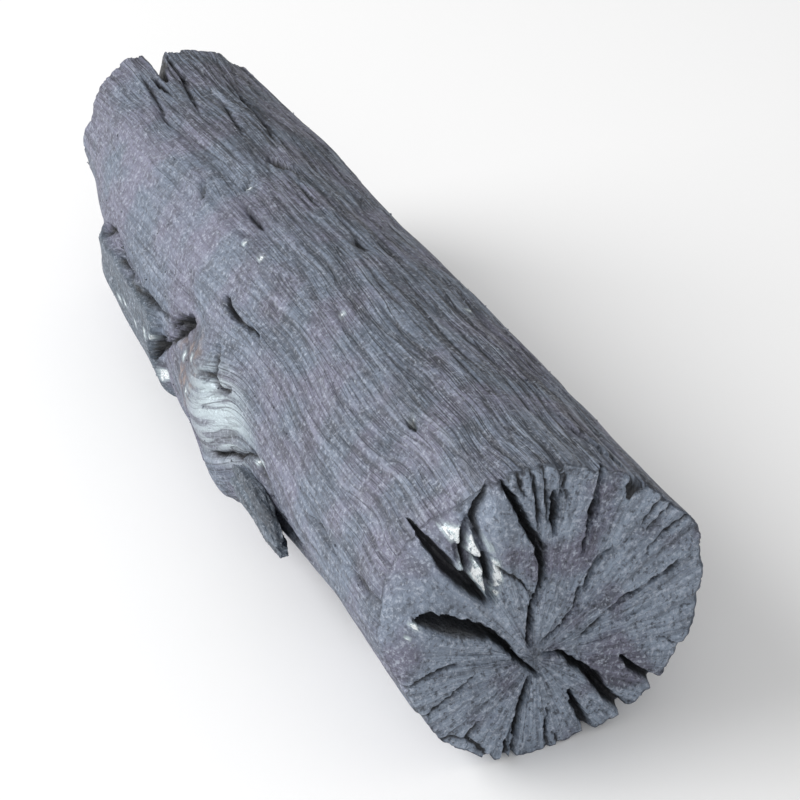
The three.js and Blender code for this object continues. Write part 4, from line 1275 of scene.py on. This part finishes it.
    def plain_object(self, name: str, points: np.ndarray, faces: list, masks: dict) -> bpy.types.Object:
        """An object from points in millimetres, with its masks as attributes."""
        mesh = bpy.data.meshes.new(name)
        mesh.from_pydata(((points + (LOG_X, LOG_Y, 0.0)) * MM).tolist(), [], faces)
        for kind, values in masks.items():
            is_vector = kind is Mask.STRAIGHT
            carried = mesh.attributes.new(kind.value, "FLOAT_VECTOR" if is_vector else "FLOAT", "POINT")
            carried.data.foreach_set("vector" if is_vector else "value", values.ravel())
        made = bpy.data.objects.new(name, mesh)
        bpy.context.collection.objects.link(made)
        return made

    def strip_object(self, strip: Strip, index: int) -> bpy.types.Object:
        """One strip of bark as an object."""
        points, faces = strip.mesh(self.form)
        none = np.zeros(len(points))
        masks = self.end_masks(points, none, none, none)
        masks[Mask.GRAIN] = np.full(len(points), strip.grain)
        masks[Mask.STRAIGHT] = points * MM
        # Painted shade on the strip, coloured as in the checks.
        masks[Mask.CHECK_SHADE] = np.full(len(points), strip.painted_shade)
        masks[Mask.BARK] = np.ones(len(points))
        return self.plain_object(f"strip_{index}", points, faces, masks)

    @staticmethod
    def mend_seams(mesh: bpy.types.Mesh) -> None:
        """Give the points that a join made where bark meets log their own place as straight place."""
        straight = np.zeros(len(mesh.vertices) * 3)
        mesh.attributes[Mask.STRAIGHT.value].data.foreach_get("vector", straight)
        place = np.zeros(len(mesh.vertices) * 3)
        mesh.vertices.foreach_get("co", place)
        lost = np.repeat(~straight.reshape(-1, 3).any(1), 3)
        mesh.attributes[Mask.STRAIGHT.value].data.foreach_set("vector", np.where(lost, place, straight))

    def build(self) -> None:
        """Build the lump, join its bark to it, sink the grain and strew the crumbs."""
        body = self.plain_object("log", *self.log_mesh())
        for index, strip in enumerate(self.strips):
            bark = self.strip_object(strip, index)
            union = body.modifiers.new("join", "BOOLEAN")
            union.operation = "UNION"
            union.solver = "MANIFOLD"
            union.object = bark
            scene_graph = bpy.context.evaluated_depsgraph_get()
            joined = bpy.data.meshes.new_from_object(body.evaluated_get(scene_graph), depsgraph=scene_graph)
            body.modifiers.remove(union)
            body.data = joined
            bpy.data.objects.remove(bark)
        self.mend_seams(body.data)
        relief = GrainRelief()
        values = {**relief.inputs(), "Finish": self.finish.material()}
        lump = grown(body, relief.tree(), values, "charcoal_lump_surface")
        lump.data.shade_smooth()
        lump.data.set_sharp_from_angle(angle=math.radians(self.sharp_degrees))
        crumbs = CrumbScatter()
        values = {**crumbs.inputs(), "Finish": CharCrumb().material()}
        chips = grown(lump, crumbs.tree(), values, "char_crumbs")
        bpy.data.objects.remove(body)
        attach(lump, "root")
        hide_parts(NODE)
        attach(chips, "root")
        self.made += [lump, chips]
        for piece in self.made:
            LOG.info("%s: %d faces", piece.name, len(piece.data.polygons))


@dataclass(frozen=True)
class Studio:
    """Pale floor, soft light and a camera at the photograph's angle."""

    azimuth: float = 66.09
    elevation: float = 32.34
    aim: tuple[float, float, float] = (21.97, 7.46, 30.0)
    distance: float = 650.0
    lens: float = 134.9
    sensor: float = 36.0
    floor_reach: float = 3.0  # metres
    # Each light's name, place in metres, size in metres and power in watts.
    lights: tuple[tuple[str, tuple[float, float, float], float, float], ...] = (
        ("key", (-0.42, -1.05, 0.78), 1.0, 17.5),
        ("fill", (1.2, -0.5, 0.7), 0.8, 3.6),
    )
    sky: float = 0.5

    def camera(self) -> None:
        """Place the camera."""
        turn, rise = math.radians(self.azimuth), math.radians(self.elevation)
        back = Vector((math.sin(turn) * math.cos(rise), -math.cos(turn) * math.cos(rise), math.sin(rise)))
        data = bpy.data.cameras.new("camera")
        data.lens = self.lens
        data.sensor_width = self.sensor
        made = bpy.data.objects.new("camera", data)
        made.location = (Vector(self.aim) + back * self.distance) * MM
        made.rotation_euler = back.to_track_quat("Z", "Y").to_euler()
        bpy.context.collection.objects.link(made)
        bpy.context.scene.camera = made

    def floor(self) -> None:
        """Lay the floor."""
        reach = self.floor_reach
        corners = [(-reach, -reach, 0), (reach, -reach, 0), (reach, reach, 0), (-reach, reach, 0)]
        mesh = bpy.data.meshes.new("floor")
        mesh.from_pydata(corners, [], [(0, 1, 2, 3)])
        made = bpy.data.objects.new("floor", mesh)
        bpy.context.collection.objects.link(made)
        paint = bpy.data.materials.new("matt_white_card")
        paint.use_nodes = True
        shader = paint.node_tree.nodes["Principled BSDF"]
        shader.inputs["Base Color"].default_value = linear("#FFFFFF")
        shader.inputs["Roughness"].default_value = 0.9
        mesh.materials.append(paint)

    def light(self, name: str, place: tuple[float, float, float], size: float, power: float) -> None:
        """Hang one soft light that looks at the lump."""
        data = bpy.data.lights.new(name, "AREA")
        data.size = size
        data.energy = power
        made = bpy.data.objects.new(name, data)
        made.location = place
        made.rotation_euler = (Vector(place) - Vector(self.aim) * MM).to_track_quat("Z", "Y").to_euler()
        bpy.context.collection.objects.link(made)

    def build(self) -> None:
        """Set up floor, camera and light."""
        self.camera()
        self.floor()
        for light in self.lights:
            self.light(*light)
        world = bpy.data.worlds.new("world")
        world.use_nodes = True
        background = world.node_tree.nodes["Background"]
        background.inputs["Color"].default_value = (1, 1, 1, 1)
        background.inputs["Strength"].default_value = self.sky
        bpy.context.scene.world = world
        bpy.context.scene.view_settings.view_transform = "Standard"


def main() -> None:
    """Build the studio and the lump, and report each piece."""
    logging.basicConfig(level=logging.INFO)
    Studio().build()
    CharcoalLump().build()


if __name__ == "__main__":
    main()
